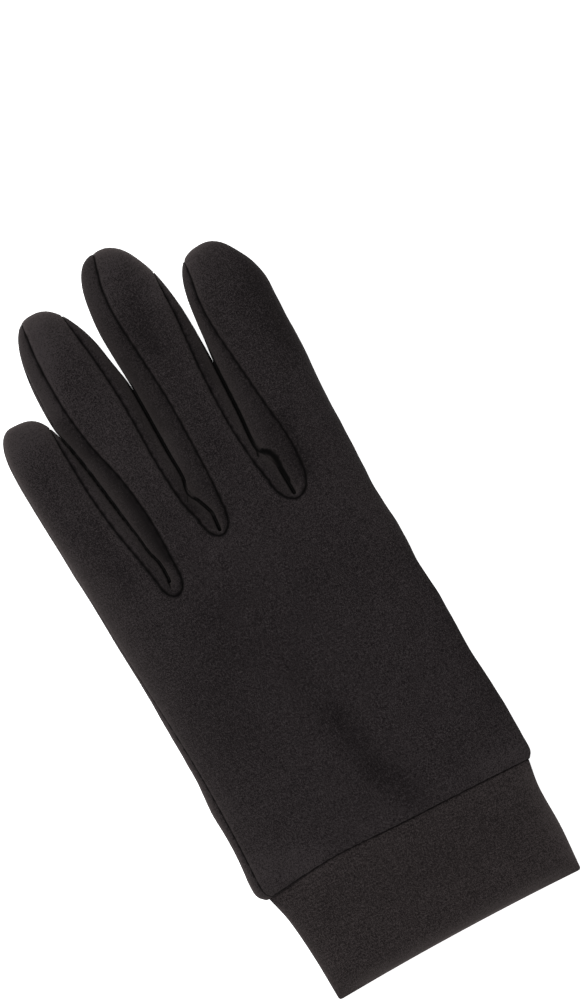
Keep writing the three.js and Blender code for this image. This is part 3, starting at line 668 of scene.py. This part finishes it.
# Rows lie closer together towards the fingertip, as its outline turns there
def capHeights(finger, end, rows):
    return mix(finger["capY"], end, np.sin(np.linspace(0, quarter, rows + 1)[1:]))


def armHeights(finger, base, end, rows, capRows):
    return np.concatenate([np.linspace(base, finger["capY"], rows + 1), capHeights(finger, end, capRows)])


# A row at each seam's end closes the fingertip
def rowHeights(finger, baseY):
    even = np.linspace(0, 1, fineness["fingerRows"] + 1)
    cap = np.append(capHeights(finger, finger["tipY"], fineness["capRows"]), finger["seamEnds"])
    straight = mix(baseY, finger["capY"], even[:, None])
    return np.concatenate([straight, np.broadcast_to(np.sort(cap)[:, None], (len(cap), len(baseY)))])


# The seams as lines of points, worked out from the same curves as the cloth on both sides of them
def armSeam(finger, side, face, end):
    base = finger["leftBaseY"] if side < 0 else finger["rightBaseY"]
    y = armHeights(finger, base, end, seamPoints["arm"], seamPoints["cap"])
    across = np.full_like(y, 0 if side < 0 else 1)
    return stripPoint(finger, y, across, face)


def gapSeam(gap, face):
    left, right = gap["fingers"]
    x, y = notchPoint(gap, np.linspace(math.pi, 2 * math.pi, seamPoints["notch"])[1:-1])
    bottom = handPoint(x, y, face)
    return np.concatenate([armSeam(left, 1, face, gap["leftEnd"])[::-1], bottom,
                           armSeam(right, -1, face, gap["rightEnd"])])


def littleSideSeam():
    (start, end), turn, count = sideSeam["ends"], fingers[0]["leftBaseY"], seamPoints["side"]
    y = np.linspace(start, turn, count)
    low = handPoint(handLeft(y) + seamInset(y), y, 1)
    high = stripPoint(fingers[0], np.linspace(turn, end, count), np.zeros(count), 1)
    return np.concatenate([low, high[1:]])


def wristSeamLine(face):
    x = np.linspace(handLeft(glove["wristY"]), handRight(glove["wristY"]), seamPoints["wrist"])
    return handPoint(x, wristSeam(x), face)


# The thumb is sewn into a loop of the palm, which grow makes wider
def thumbLoop(grow=0.0):
    t = np.linspace(0, 1, seamPoints["loop"])
    u = mix(thumb["u"][0], thumb["crotchU"], t * t * (2 - t))
    right = np.stack([u, thumbRight(u)], axis=1)
    left = np.stack([u, thumbSewn(u)], axis=1)[::-1][1:-1]
    loop = np.concatenate([right, left])
    run = np.roll(loop, -1, axis=0) - np.roll(loop, 1, axis=0)
    run /= np.linalg.norm(run, axis=1, keepdims=True)
    loop = loop + grow * np.stack([-run[:, 1], run[:, 0]], axis=1)
    return np.stack(thumbToGlove(loop[:, 0], loop[:, 1]), axis=1)


thumbLeft = curveThrough(thumb, "left", "u")
thumbRight = curveThrough(thumb, "right", "u")
thumbSewn = curveThrough(thumb, "sewn", "u")
loopLine = thumbLoop()
loopSeam = np.column_stack([loopLine, np.full(len(loopLine), palmLift["height"])])
loopSeam = np.concatenate([loopSeam, loopSeam[:1]])


# The line along which two fingers touch, and the creases that branch off it, in plan
def valleyLine(gap):
    opening = np.array(gap["rightSide"]) - np.array(gap["leftSide"])
    forkY = gap["y"][int(np.argmax(opening > creases["opens"]))]
    y = np.linspace(gap["meetEnd"][1], forkY, seamPoints["valley"])
    x = (gap["leftSideAt"](y) + gap["rightSideAt"](y)) / 2
    lines = [np.column_stack([x, y, 0 * x])]
    for branch in gap["branches"]:
        lines.append(np.column_stack([np.array(branch, float), np.zeros(len(branch))]))
    tree = SeamTree(lines, fadeEnds=False, shares=[1] + gap["branchShares"])
    tree.black = gap["black"]
    return tree


def panelSeams(face, extra=()):
    lines = [gapSeam(gap, face) for gap in gaps]
    shares = [1, 1, 1, sideSeam["share"], seams["wristShare"]] + [1] * len(extra)
    return SeamTree(lines + [littleSideSeam(), wristSeamLine(face), *extra], shares=shares)


backSeams = panelSeams(1)
palmSeams = panelSeams(-1, [loopSeam])
gapSeams = [SeamTree([gapSeam(gap, face) for face in (1, -1)]) for gap in gaps]
print("seam lines laid out")


# A panel grows up from the wrist seam, one column of points for each point of its upper edge, and a strip
# for each finger goes on from there
def buildPanel(name, face, seamTree):
    cloth = Cloth()
    across = gathered(fineness["stripColumns"])
    upper = []
    for i, finger in enumerate(fingers):
        base = mix(finger["leftBaseY"], finger["rightBaseY"], across)
        upper.append([stripPoint(finger, base, across, face)[:, 0], base, np.full_like(base, i)])
        if i < 3:
            notchX, notchY = notchPoint(gaps[i], notchAngles(fineness["notchColumns"]))
            upper.append([notchX, notchY, np.full_like(notchX, -1)])
    x, y, owner = np.concatenate(upper, axis=1)

    def panelLeft(height):
        return handLeft(height) + (seamInset(height) if face > 0 else 0)

    share = (x - panelLeft(y)) / (handRight(y) - panelLeft(y))
    bottom = wristSeam(mix(handLeft(glove["wristY"]), handRight(glove["wristY"]), share))
    near = np.array(fineness["seamRows"])
    even = np.linspace(0, 1, fineness["handRows"])[1:-1]
    inner = mix(bottom + near[-1], y - near[-1], even[:, None])
    heights = np.concatenate([bottom + near[:, None], inner, y - near[::-1][:, None]])
    places = mix(panelLeft(heights), handRight(heights), share)
    hand = handPoint(places, heights, face)
    cloth.addGrid(hand, hand[..., :2], flip=face < 0)

    leftColumn = [hand[:, 0]]
    for i, finger in enumerate(fingers):
        own = np.nonzero(owner == i)[0]
        strip = stripPoint(finger, rowHeights(finger, y[own]), across, face)
        cloth.addGrid(strip, strip[..., :2], flip=face < 0)
        if i == 0:
            leftColumn.append(strip[1:, 0])
    if face < 0:
        addSideWrap(cloth, np.concatenate(leftColumn)[:, 1])
        openForThumb(cloth)
    return finishCloth(cloth, name, seamTree, face=face)


# On the little finger side the palm's cloth comes up round the edge to the seam on the back
def addSideWrap(cloth, heights):
    finger = fingers[0]
    steps = np.linspace(0, 1, sideSeam["wrapSteps"])[:, None]
    turnHigh = -np.arcsin(1 - seamInset(heights) / sideReach(finger, heights, -1))
    turn = mix(turnHigh, -quarter, ease(steps) ** sideSeam["wrapRound"])
    onFinger = blendedPoint(finger, np.broadcast_to(heights, turn.shape), turn, 1)
    x = handLeft(heights) + seamInset(heights) * (1 - np.sin(steps * quarter))
    onHand = handPoint(x, np.broadcast_to(heights, x.shape), 1)
    wrap = np.where((heights < finger["leftBaseY"])[None, :, None], onHand, onFinger)
    wrap = np.swapaxes(wrap, 0, 1)[:, ::-1]
    cloth.addGrid(wrap, wrap[..., :2])


gusset = {"round": 0.6, "wave": 0.07, "pucker": 0.7}


# A fourchette runs down the side of one finger, round the fork and up the next finger. Each section
# goes from the back's seam over the widest line to the palm's seam.
def buildFourchette(name, gap, seamTree):
    baseY, (endX, endY) = gap["y"][0], gap["meetEnd"]
    turnQ = np.linspace(0, 1, fineness["sectionSteps"] + 1) * quarter

    def section(edge, middle, finger=None, y=None, side=0):
        halves = {}
        for face in (1, -1):
            level = np.clip(np.cos(turnQ), 0, 1) ** gusset["round"]
            flat = [mix(edge[face][k], middle[k], np.sin(turnQ)) for k in (0, 1)]
            flat = np.stack([*flat, mix(middle[2], edge[face][2], level)], axis=1)
            if finger is not None:
                start = edgeTurns(finger, np.array(y), face)[0 if side < 0 else 1]
                turn = mix(start, side * quarter, np.sin(turnQ))
                rounded = fingerPoint(finger, np.full_like(turn, y), turn, face)
                flat = mix(flat, rounded, ease((y - baseY) / glove["fingerBlend"]))
            halves[face] = flat
        return np.concatenate([halves[1], halves[-1][::-1][1:]])

    def addArm(finger, side, end):
        arm = []
        for y in armHeights(finger, baseY, end, fineness["fingerRows"], fineness["capRows"]):
            t = (y - baseY) / (end - baseY)
            across = np.array(0.0 if side < 0 else 1.0)
            edge = {face: stripPoint(finger, np.array(y), across, face) for face in (1, -1)}
            low = mix(endY, end, t)
            lowSide = fingerPoint(finger, np.array(low), np.array(side * quarter), 1)
            arm.append(section(edge, lowSide, finger, y, side))
        return arm

    left, right = gap["fingers"]
    rows = addArm(left, 1, gap["leftEnd"])[::-1]
    for angle in notchAngles(2 * fineness["notchColumns"]):
        x, y = notchPoint(gap, angle)
        edge = {face: handPoint(np.array(x), np.array(y), face) for face in (1, -1)}
        reach = glove["touchGap"] / 2
        middleX, middleY = endX + reach * math.cos(angle), endY + reach * math.sin(angle)
        middle = (middleX, middleY, glove["widestZ"] + float(liftAt(middleX, middleY, 0.5)))
        rows.append(section(edge, middle))
    rows.extend(addArm(right, -1, gap["rightEnd"]))
    grid = np.array(rows)
    along = runOf(grid[:, 0])
    around = np.array([runOf(row) for row in grid])
    uv = np.stack([around, np.broadcast_to(along[:, None], around.shape)], axis=-1)
    cloth = Cloth()
    cloth.addGrid(grid, uv, flip=True)
    return finishCloth(cloth, name, seamTree, wave=gusset["wave"], pucker=gusset["pucker"],
                       valley=valleyLine(gap))


# Round the thumb: from its right side under it to its left side and back over it, around from 0 to 1
def thumbSection(u, around, height):
    cap = np.clip((u - thumb["capU"]) / (thumb["tipU"] - thumb["capU"]), 0, 1)
    width = endWidth(cap, thumb["roundness"])
    left = mix(thumb["tipV"], thumbLeft(u), width)
    right = mix(thumb["tipV"], thumbRight(u), width)
    sewn = np.where(u < thumb["crotchU"], thumbSewn(u), right)
    rootShare = ease((u - thumb["u"][0]) / thumb["rootBlend"])
    freeShare = ease((u - thumb["crotchU"]) / thumb["freeBlend"])
    sewnZ = palmLift["height"] + thumb["loopGap"]
    leftZ = mix(sewnZ, height / 2, rootShare)
    rightZ = mix(sewnZ, height / 2, freeShare)
    below = around <= 0.5
    turn = 2 * math.pi * np.where(below, around, around - 0.5)
    across = np.where(below, (1 + np.cos(turn)) / 2, (1 - np.cos(turn)) / 2)
    v = np.where(below, mix(left, right, across), mix(left, sewn, across))
    edge = mix(leftZ, rightZ, across)
    bulge = np.abs(np.sin(turn)) ** thumb["plump"] * width
    low = edge - edge * bulge * mix(thumb["rootDepth"], 1, rootShare)
    z = np.where(below, low, edge + (height - edge) * bulge)
    x, y = thumbToGlove(u, v)
    return np.stack([x, y, z], axis=-1)


def buildThumb():
    rows, columns = fineness["thumbRows"], fineness["thumbColumns"]
    t = np.linspace(0, 1, rows + 1)
    crowded = 0.5 - 0.5 * np.cos(math.pi * t) * (1 - thumb["crowding"] * np.sin(math.pi * t) ** 2)
    u = mix(thumb["u"][0], thumb["tipU"], crowded)[:, None]
    around = np.linspace(0, 1, columns + 1)
    u, around = np.broadcast_arrays(u, around[None, :])
    grid = thumbSection(u, around, thumb["height"])
    sideU = np.linspace(*thumb["sideSeam"], seamPoints["thumb"])
    side = thumbSection(sideU, np.full_like(sideU, 0.5), thumb["height"])
    cloth = Cloth()
    cloth.addGrid(grid, np.stack([around * thumb["girth"], u], axis=-1), flip=False)
    return finishCloth(cloth, "thumbPiece", SeamTree([side, loopSeam]), wave=thumb["wave"])


band = {
    "wall": 2.0, "hemBow": 0.9, "hemDrop": 1.15, "droop": 3.0, "droopLength": 7.0, "droopShape": 2.5,
    "tuck": 2.2, "tuckInset": 1.2,      # its upper end lies inside the hand's cloth
    "dip": 0.3, "pucker": 0.14, "puckers": 27, "sway": (2, 5), "puckerReach": 4.0, "puckerFrom": 0.8,
    "wave": 0.12, "waves": (24, 11), "waveFrom": 5,
    "rows": 44, "columns": 220, "tuckRows": 5, "hemRows": 9, "crowding": 1.25, "girth": 28, "inside": 3,
    # Where its edges get a painted highlight: from this high, turned up this much, this far from the seam
    "lightAbove": (2, 2), "lightTurned": (-0.6, 0.4), "lightFrom": (35, -3),
    "hemLight": 1.5, "hem": (0, 5), "leftLight": 0.65, "left": (-40, 8),
}


def bandSection(y, across, face, inset):
    middle = (bandLeft(y) + bandRight(y)) / 2
    half = (bandRight(y) - bandLeft(y)) / 2 - inset
    level = flatLevel(np.abs(across), face)
    height = faceZ(face, level, glove["bandHeight"] - inset, glove["bandWidestZ"])
    height = np.where(face < 0, np.maximum(height, inset), height)
    nearHem = np.clip(1 - (y - band["hemBow"] + band["hemDrop"]) / band["droopLength"], 0, 1)
    height = height - np.where(face > 0, band["droop"] * level * nearHem ** band["droopShape"], 0)
    return lifted(middle + half * across, y, height, face, level)


# Share of the painted highlight along the band's edges, stronger at the hem and weaker on the left
def bandLight(points, faces):
    x, y, z = points.T
    up = vertexNormals(points, cornerTable(faces))[:, 2]
    light = (1 - np.abs(up)) * fadeIn(z, band["lightAbove"]) * fadeIn(up, band["lightTurned"])
    light *= mix(band["hemLight"], 1, fadeIn(y, band["hem"])) * fadeIn(y, band["lightFrom"])
    return light * mix(band["leftLight"], 1, fadeIn(x, band["left"]))


# The band is one closed sleeve: from inside the hand's cloth down its outside, round the hem and up inside
def buildBand():
    rows, columns = band["rows"], band["columns"]
    angle = np.linspace(0, 2 * math.pi, columns + 1)[:-1]
    across = -np.cos(angle)
    face = np.where(angle < math.pi, 1, -1)
    top = bandEdges["y"][-1]
    seamAt = wristSeam(mix(bandLeft(top), bandRight(top), (across + 1) / 2))
    radius = band["wall"] / 2
    hem = band["hemBow"] * (1 - across ** 2) - band["hemDrop"] + radius
    # Each row has its heights, how far inside the outer face it lies and whether it is on the outside
    profile = [(seamAt + band["tuck"] * t, band["tuckInset"] * t ** 0.5, True)
               for t in np.linspace(1, 0, band["tuckRows"])[:-1]]
    profile += [(mix(seamAt, hem, t), 0, True) for t in np.linspace(0, 1, rows) ** band["crowding"]]
    profile += [(hem - radius * math.sin(turn), radius * (1 - math.cos(turn)), False)
                for turn in np.linspace(0, math.pi, band["hemRows"])[1:-1]]
    profile += [(mix(seamAt + band["tuck"], hem, t), band["wall"], False)
                for t in np.linspace(1, 0, rows // 2)]
    grid, pressed = [], []
    for y, inset, outside in profile:
        points = bandSection(y, across, face, inset)
        toSeam = np.maximum(seamAt - y, 0)
        if outside:
            beat = np.sin(band["puckers"] * angle + band["sway"][0] * np.sin(band["sway"][1] * angle))
            pucker = band["pucker"] * beat * bell(toSeam, band["puckerReach"])
            dip = band["dip"] * bell(toSeam, seams["grooveWidth"], seams["grooveShape"])
            wave = band["wave"] * ripple(points, *band["waves"]) * ease(toSeam / band["waveFrom"])
            points[:, 2] += face * (pucker * ease(toSeam / band["puckerFrom"]) - dip + wave)
        # The distance to the wrist seam carries the seam's dark, pressed nap with painted shade in its
        # groove; rows inside are kept clear of it
        pressed.append(toSeam + (0 if outside else band["inside"]))
        grid.append(points)
    grid = np.array(grid)
    grid = np.concatenate([grid, grid[:, :1]], axis=1)
    grid = np.concatenate([grid, grid[:1]])
    grid[..., 2] = np.maximum(grid[..., 2], glove["lowest"])
    around = np.append(angle, 2 * math.pi) * band["girth"]
    along = np.append(runOf(grid[:-1, columns // 4]), 0)
    uv = np.stack(np.broadcast_arrays(around[None, :], along[:, None]), axis=-1)
    cloth = Cloth()
    index = cloth.addGrid(grid, uv, flip=True)
    points = np.array(cloth.points)
    distance = np.zeros(len(points))
    distance[index[:-1, :-1]] = np.array(pressed)
    marks = {"seamAndCreaseShadeDistance": distance / seams["wristShare"], "paintedHighlightShare": bandLight(points, cloth.faces),
             "paintedLightAndShade": paintedLightAndShade(points, "wristBand")}
    return makeMesh("wristBand", points, cloth.faces, cloth.uvs, marks)


# The thumb's opening in the palm: faces inside the loop are left out and the edge is drawn onto the loop
def openForThumb(cloth):
    loop = thumbLoop(-thumb["loopInset"])
    after = np.roll(loop, -1, axis=0)
    points = np.array(cloth.points)
    x, y = points[:, 0:1], points[:, 1:2]
    crosses = (loop[:, 1] > y) != (after[:, 1] > y)
    with np.errstate(divide="ignore", invalid="ignore"):
        at = loop[:, 0] + (y - loop[:, 1]) / (after[:, 1] - loop[:, 1]) * (after[:, 0] - loop[:, 0])
    inside = (np.sum(crosses & (x < at), axis=1) % 2 == 1) & (points[:, 2] < thumb["loopTop"])
    kept, edge = [], set()
    for face in cloth.faces:
        within = sum(inside[n] for n in face)
        if within * 2 > len(face):
            edge.update(face)
        else:
            kept.append(face)
    left = {n for face in kept for n in face}
    run = after - loop
    for n in edge & left:
        place = points[n, :2]
        t = np.clip(np.sum((place - loop) * run, axis=1) / np.sum(run * run, axis=1), 0, 1)
        near = loop + t[:, None] * run
        nearest = near[np.argmin(np.sum((near - place) ** 2, axis=1))]
        cloth.points[n] = np.array([*nearest, points[n, 2]])
    keptIndex = sorted(left)
    renumber = {n: k for k, n in enumerate(keptIndex)}
    cloth.points = [cloth.points[n] for n in keptIndex]
    cloth.uvs = [cloth.uvs[n] for n in keptIndex]
    cloth.faces = [[renumber[n] for n in face] for face in kept]


pieces = {}
pieces["back_panel"] = buildPanel("backPanel", 1, backSeams)
print("back panel made")
pieces["palm_panel"] = buildPanel("palmPanel", -1, palmSeams)
print("palm panel made")
for gap, seamTree, node in zip(gaps, gapSeams, ("little_ring", "ring_middle", "middle_index")):
    name = "fourchette" + gap["name"][0].upper() + gap["name"][1:]
    pieces["fourchette_" + node] = buildFourchette(name, gap, seamTree)
print("fourchettes made")
pieces["thumb"] = buildThumb()
pieces["wrist_band"] = buildBand()
print("thumb and wrist band made")


# A value is a number or colour for that input, or another node's output that feeds it
def setInputs(tree, node, values):
    for key, value in values.items():
        if isinstance(value, bpy.types.NodeSocket):
            tree.links.new(value, node.inputs[key])
        else:
            node.inputs[key].default_value = value


def addNode(tree, kind, values, **settings):
    node = tree.nodes.new("ShaderNode" + kind)
    for setting, value in settings.items():
        setattr(node, setting, value)
    setInputs(tree, node, values)
    return node


def maths(tree, operation, *values):
    return addNode(tree, "Math", dict(enumerate(values)), operation=operation).outputs[0]


def mark(tree, attribute):
    return addNode(tree, "Attribute", {}, attribute_name=attribute).outputs["Fac"]


def newGroup(name, inputs, outputs):
    group = bpy.data.node_groups.new(name, "ShaderNodeTree")
    for socket, kind in inputs.items():
        group.interface.new_socket(socket, in_out="INPUT", socket_type="NodeSocket" + kind)
    for socket in outputs:
        group.interface.new_socket(socket, in_out="OUTPUT", socket_type="NodeSocketFloat")
    return group, group.nodes.new("NodeGroupInput").outputs, group.nodes.new("NodeGroupOutput").inputs


# Each noise has a scale, detail and roughness. The tones say how much each layer adds to the shade.
nap = {"fine": (4200, 2, 0.6), "flecks": (1900, 2, 0.5), "fleckShape": (1.0, 0.6, 1.0),
       "patches": (85, 3, 0.5), "wobble": (300, 1, 0.5), "wobbleReach": 0.0004, "middle": 1.3,
       "fineTone": 2.0, "fleckTone": 0.6, "patchTone": 0.16, "courseTone": 0.03,
       "fineHeight": 0.5, "fleckHeight": 0.5, "courseHeight": 0.1}


# Brushed knit: a mottled nap over fine courses
def knitGroup():
    inputs = {"Vector": "Vector", "Loops per metre": "Float", "Nap": "Float", "Courses": "Float"}
    group, entry, leave = newGroup("brushedKnit", inputs, ("Tone", "Height"))

    times, plus, minus = (partial(maths, group, kind) for kind in ("MULTIPLY", "ADD", "SUBTRACT"))

    def noise(kind, place=entry["Vector"]):
        scale, detail, roughness = nap[kind]
        values = {"Vector": place, "Scale": scale, "Detail": detail, "Roughness": roughness}
        return addNode(group, "TexNoise", values).outputs["Fac"]

    def weighted(first, second, kind):
        return plus(times(first, nap["fine" + kind]), times(second, nap["fleck" + kind]))

    stretched = addNode(group, "Mapping", {"Vector": entry["Vector"], "Scale": nap["fleckShape"]})
    fine, flecks = noise("fine"), noise("flecks", stretched.outputs["Vector"])
    lengthways = addNode(group, "SeparateXYZ", {0: entry["Vector"]}).outputs["Y"]
    wobbly = plus(lengthways, times(noise("wobble"), nap["wobbleReach"]))
    turns = times(entry["Loops per metre"], 2 * math.pi)
    courses = times(maths(group, "SINE", times(wobbly, turns)), entry["Courses"])
    mottle = times(minus(weighted(fine, flecks, "Tone"), nap["middle"]), entry["Nap"])
    patches = times(minus(noise("patches"), 0.5), nap["patchTone"])
    tone = plus(plus(mottle, patches), times(courses, nap["courseTone"]))
    height = plus(weighted(fine, flecks, "Height"), times(courses, nap["courseHeight"]))
    group.links.new(tone, leave["Tone"])
    group.links.new(height, leave["Height"])
    return group


# Darker colour along seams and in the creases between fingers: the pressed, darker nap of a seam with
# painted shade in its groove, and painted shade in the crease where two fingers touch
def seamDarkAndCreaseShadeGroup():
    group, entry, leave = newGroup("seamDarkAndCreaseShade", {"Reach": "Float"}, ("Dark",))
    values = {"Value": mark(group, "seamAndCreaseShadeDistance"), "From Min": 0.0, "From Max": entry["Reach"],
              "To Min": 1.0, "To Max": 0.0}
    fall = addNode(group, "MapRange", values, interpolation_type="SMOOTHSTEP")
    group.links.new(fall.outputs["Result"], leave["Dark"])
    return group


knitEffect = knitGroup()
seamDarkAndCreaseShadeEffect = seamDarkAndCreaseShadeGroup()


def knitMaterial(name, look):
    material = bpy.data.materials.new(name)
    material.use_nodes = True
    tree = material.node_tree

    def blend(factor, first, second):
        values = {"Factor": factor, "A": first, "B": second}
        return addNode(tree, "Mix", values, data_type="RGBA").outputs["Result"]

    values = {"Vector": addNode(tree, "TexCoord", {}).outputs["Object"], "Loops per metre": look["loops"],
              "Nap": look["nap"], "Courses": look["courses"]}
    knitted = addNode(tree, "Group", values, node_tree=knitEffect).outputs
    sewn = addNode(tree, "Group", {"Reach": look["reach"]}, node_tree=seamDarkAndCreaseShadeEffect).outputs["Dark"]
    # The painted light and shade of the zones is added to the nap's own tone
    zoned = maths(tree, "ADD", knitted["Tone"], mark(tree, "paintedLightAndShade"))
    darkest, lightest = look["tones"]
    tone = addNode(tree, "MapRange", {"Value": zoned, "From Min": darkest, "From Max": lightest})
    colour = blend(tone.outputs["Result"], (*look["dark"], 1), (*look["light"], 1))
    # Painted highlight: a lighter rim colour where the cloth stands on edge
    slope = addNode(tree, "LayerWeight", {"Blend": 0.5}).outputs["Facing"]
    standing = maths(tree, "SQRT", maths(tree, "MULTIPLY", slope, mark(tree, "paintedHighlightShare")))
    colour = blend(standing, colour, (*look["rim"], 1))
    # Seam dark and painted shade: pressed nap with painted shade in seam grooves, and painted shade in the
    # creases between fingers
    colour = blend(sewn, colour, (*look["seam"], 1))
    values = {"Strength": look["bump"], "Distance": look["bumpDepth"], "Height": knitted["Height"]}
    bump = addNode(tree, "Bump", values)
    setInputs(tree, tree.nodes["Principled BSDF"],
              {"Base Color": colour, "Normal": bump.outputs["Normal"], **look["surface"]})
    return material


# dark and light are the nap's own shades, rim its painted highlight where it stands on edge, and seam its
# colour along seams, the pressed nap with painted shade in the groove, which is also the painted shade in
# the creases between fingers
napLook = {
    "dark": (0.0042, 0.0034, 0.0036), "light": (0.0283, 0.0238, 0.0247), "tones": (-0.28, 0.42),
    "rim": (0.076, 0.064, 0.062), "seam": (0.0008, 0.0007, 0.0007), "reach": 0.9,
    "loops": 900, "nap": 1.7, "courses": 1.0, "bump": 0.5, "bumpDepth": 0.0004,
    "surface": {"Roughness": 0.95, "Specular IOR Level": 0.06, "Sheen Weight": 0.01, "Sheen Roughness": 0.5,
                "Sheen Tint": (1.0, 0.95, 0.92, 1)},
}
# The gussets lie in the hollows between the fingers: a darker copy of the knit with a weaker painted
# highlight, painted shade for their place
shadedGussetLook = {**napLook, "light": (0.0213, 0.0179, 0.0185), "rim": (0.045, 0.038, 0.037)}
bandLook = {**napLook, "dark": (0.0060, 0.0049, 0.0048), "light": (0.035, 0.0288, 0.0288), "courses": 1.3}

clothOf = {"knit": knitMaterial("knitCloth", napLook),
           "gusset_knit": knitMaterial("shadedGussetCloth", shadedGussetLook),
           "band_knit": knitMaterial("bandCloth", bandLook)}
slots = {"back_panel": "knit", "palm_panel": "knit", "thumb": "knit", "wrist_band": "band_knit"}

for node, piece in pieces.items():
    slot = slots.get(node, "gusset_knit")
    piece.data.materials.clear()
    piece.data.materials.append(clothOf[slot])
    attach(piece, "root")
    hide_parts(node)
print("cloth finished")

studio = {
    "floorSize": 6.0, "floorTone": 0.95, "floorGlow": 0.85, "world": 0.4,
    "keyPower": 33.4, "keySize": 1.1, "keyPlace": (-0.35, 0.5, 1.65),
    "viewFrom": 1.5625, "sensor": 24.0, "lens": 120.0, "roll": -28.5, "lookAt": (17.4, 143.8, 8.0),
}

bpy.ops.mesh.primitive_plane_add(size=studio["floorSize"], location=(0, 0, 0))
floor = bpy.context.object
floor.name = "floor"
floorMaterial = bpy.data.materials.new("floorPaper")
floorMaterial.use_nodes = True
paper = floorMaterial.node_tree
setInputs(paper, paper.nodes["Principled BSDF"],
          {"Base Color": (*[studio["floorTone"]] * 3, 1), "Roughness": 0.9,
           "Emission Color": (1, 1, 1, 1), "Emission Strength": studio["floorGlow"]})
floor.data.materials.append(floorMaterial)

world = bpy.data.worlds.new("studioSky")
world.use_nodes = True
setInputs(world.node_tree, world.node_tree.nodes["Background"],
          {"Color": (1, 1, 1, 1), "Strength": studio["world"]})
bpy.context.scene.world = world

bpy.ops.object.light_add(type="AREA", location=studio["keyPlace"])
key = bpy.context.object
key.name = "keyLight"
key.data.size = studio["keySize"]
key.data.energy = studio["keyPower"]
key.rotation_euler = (Vector((0, 0, 0)) - key.location).to_track_quat("-Z", "Y").to_euler()

bpy.ops.object.camera_add()
camera = bpy.context.object
target = toFrame(np.array([studio["lookAt"]]))[0]
camera.location = (target[0], target[1], target[2] + studio["viewFrom"])
camera.rotation_euler = (0, 0, math.radians(studio["roll"]))
camera.data.sensor_fit = "VERTICAL"
camera.data.sensor_height = studio["sensor"]
camera.data.lens = studio["lens"]
bpy.context.scene.camera = camera
bpy.context.scene.view_settings.view_transform = "Standard"

bpy.context.view_layer.update()
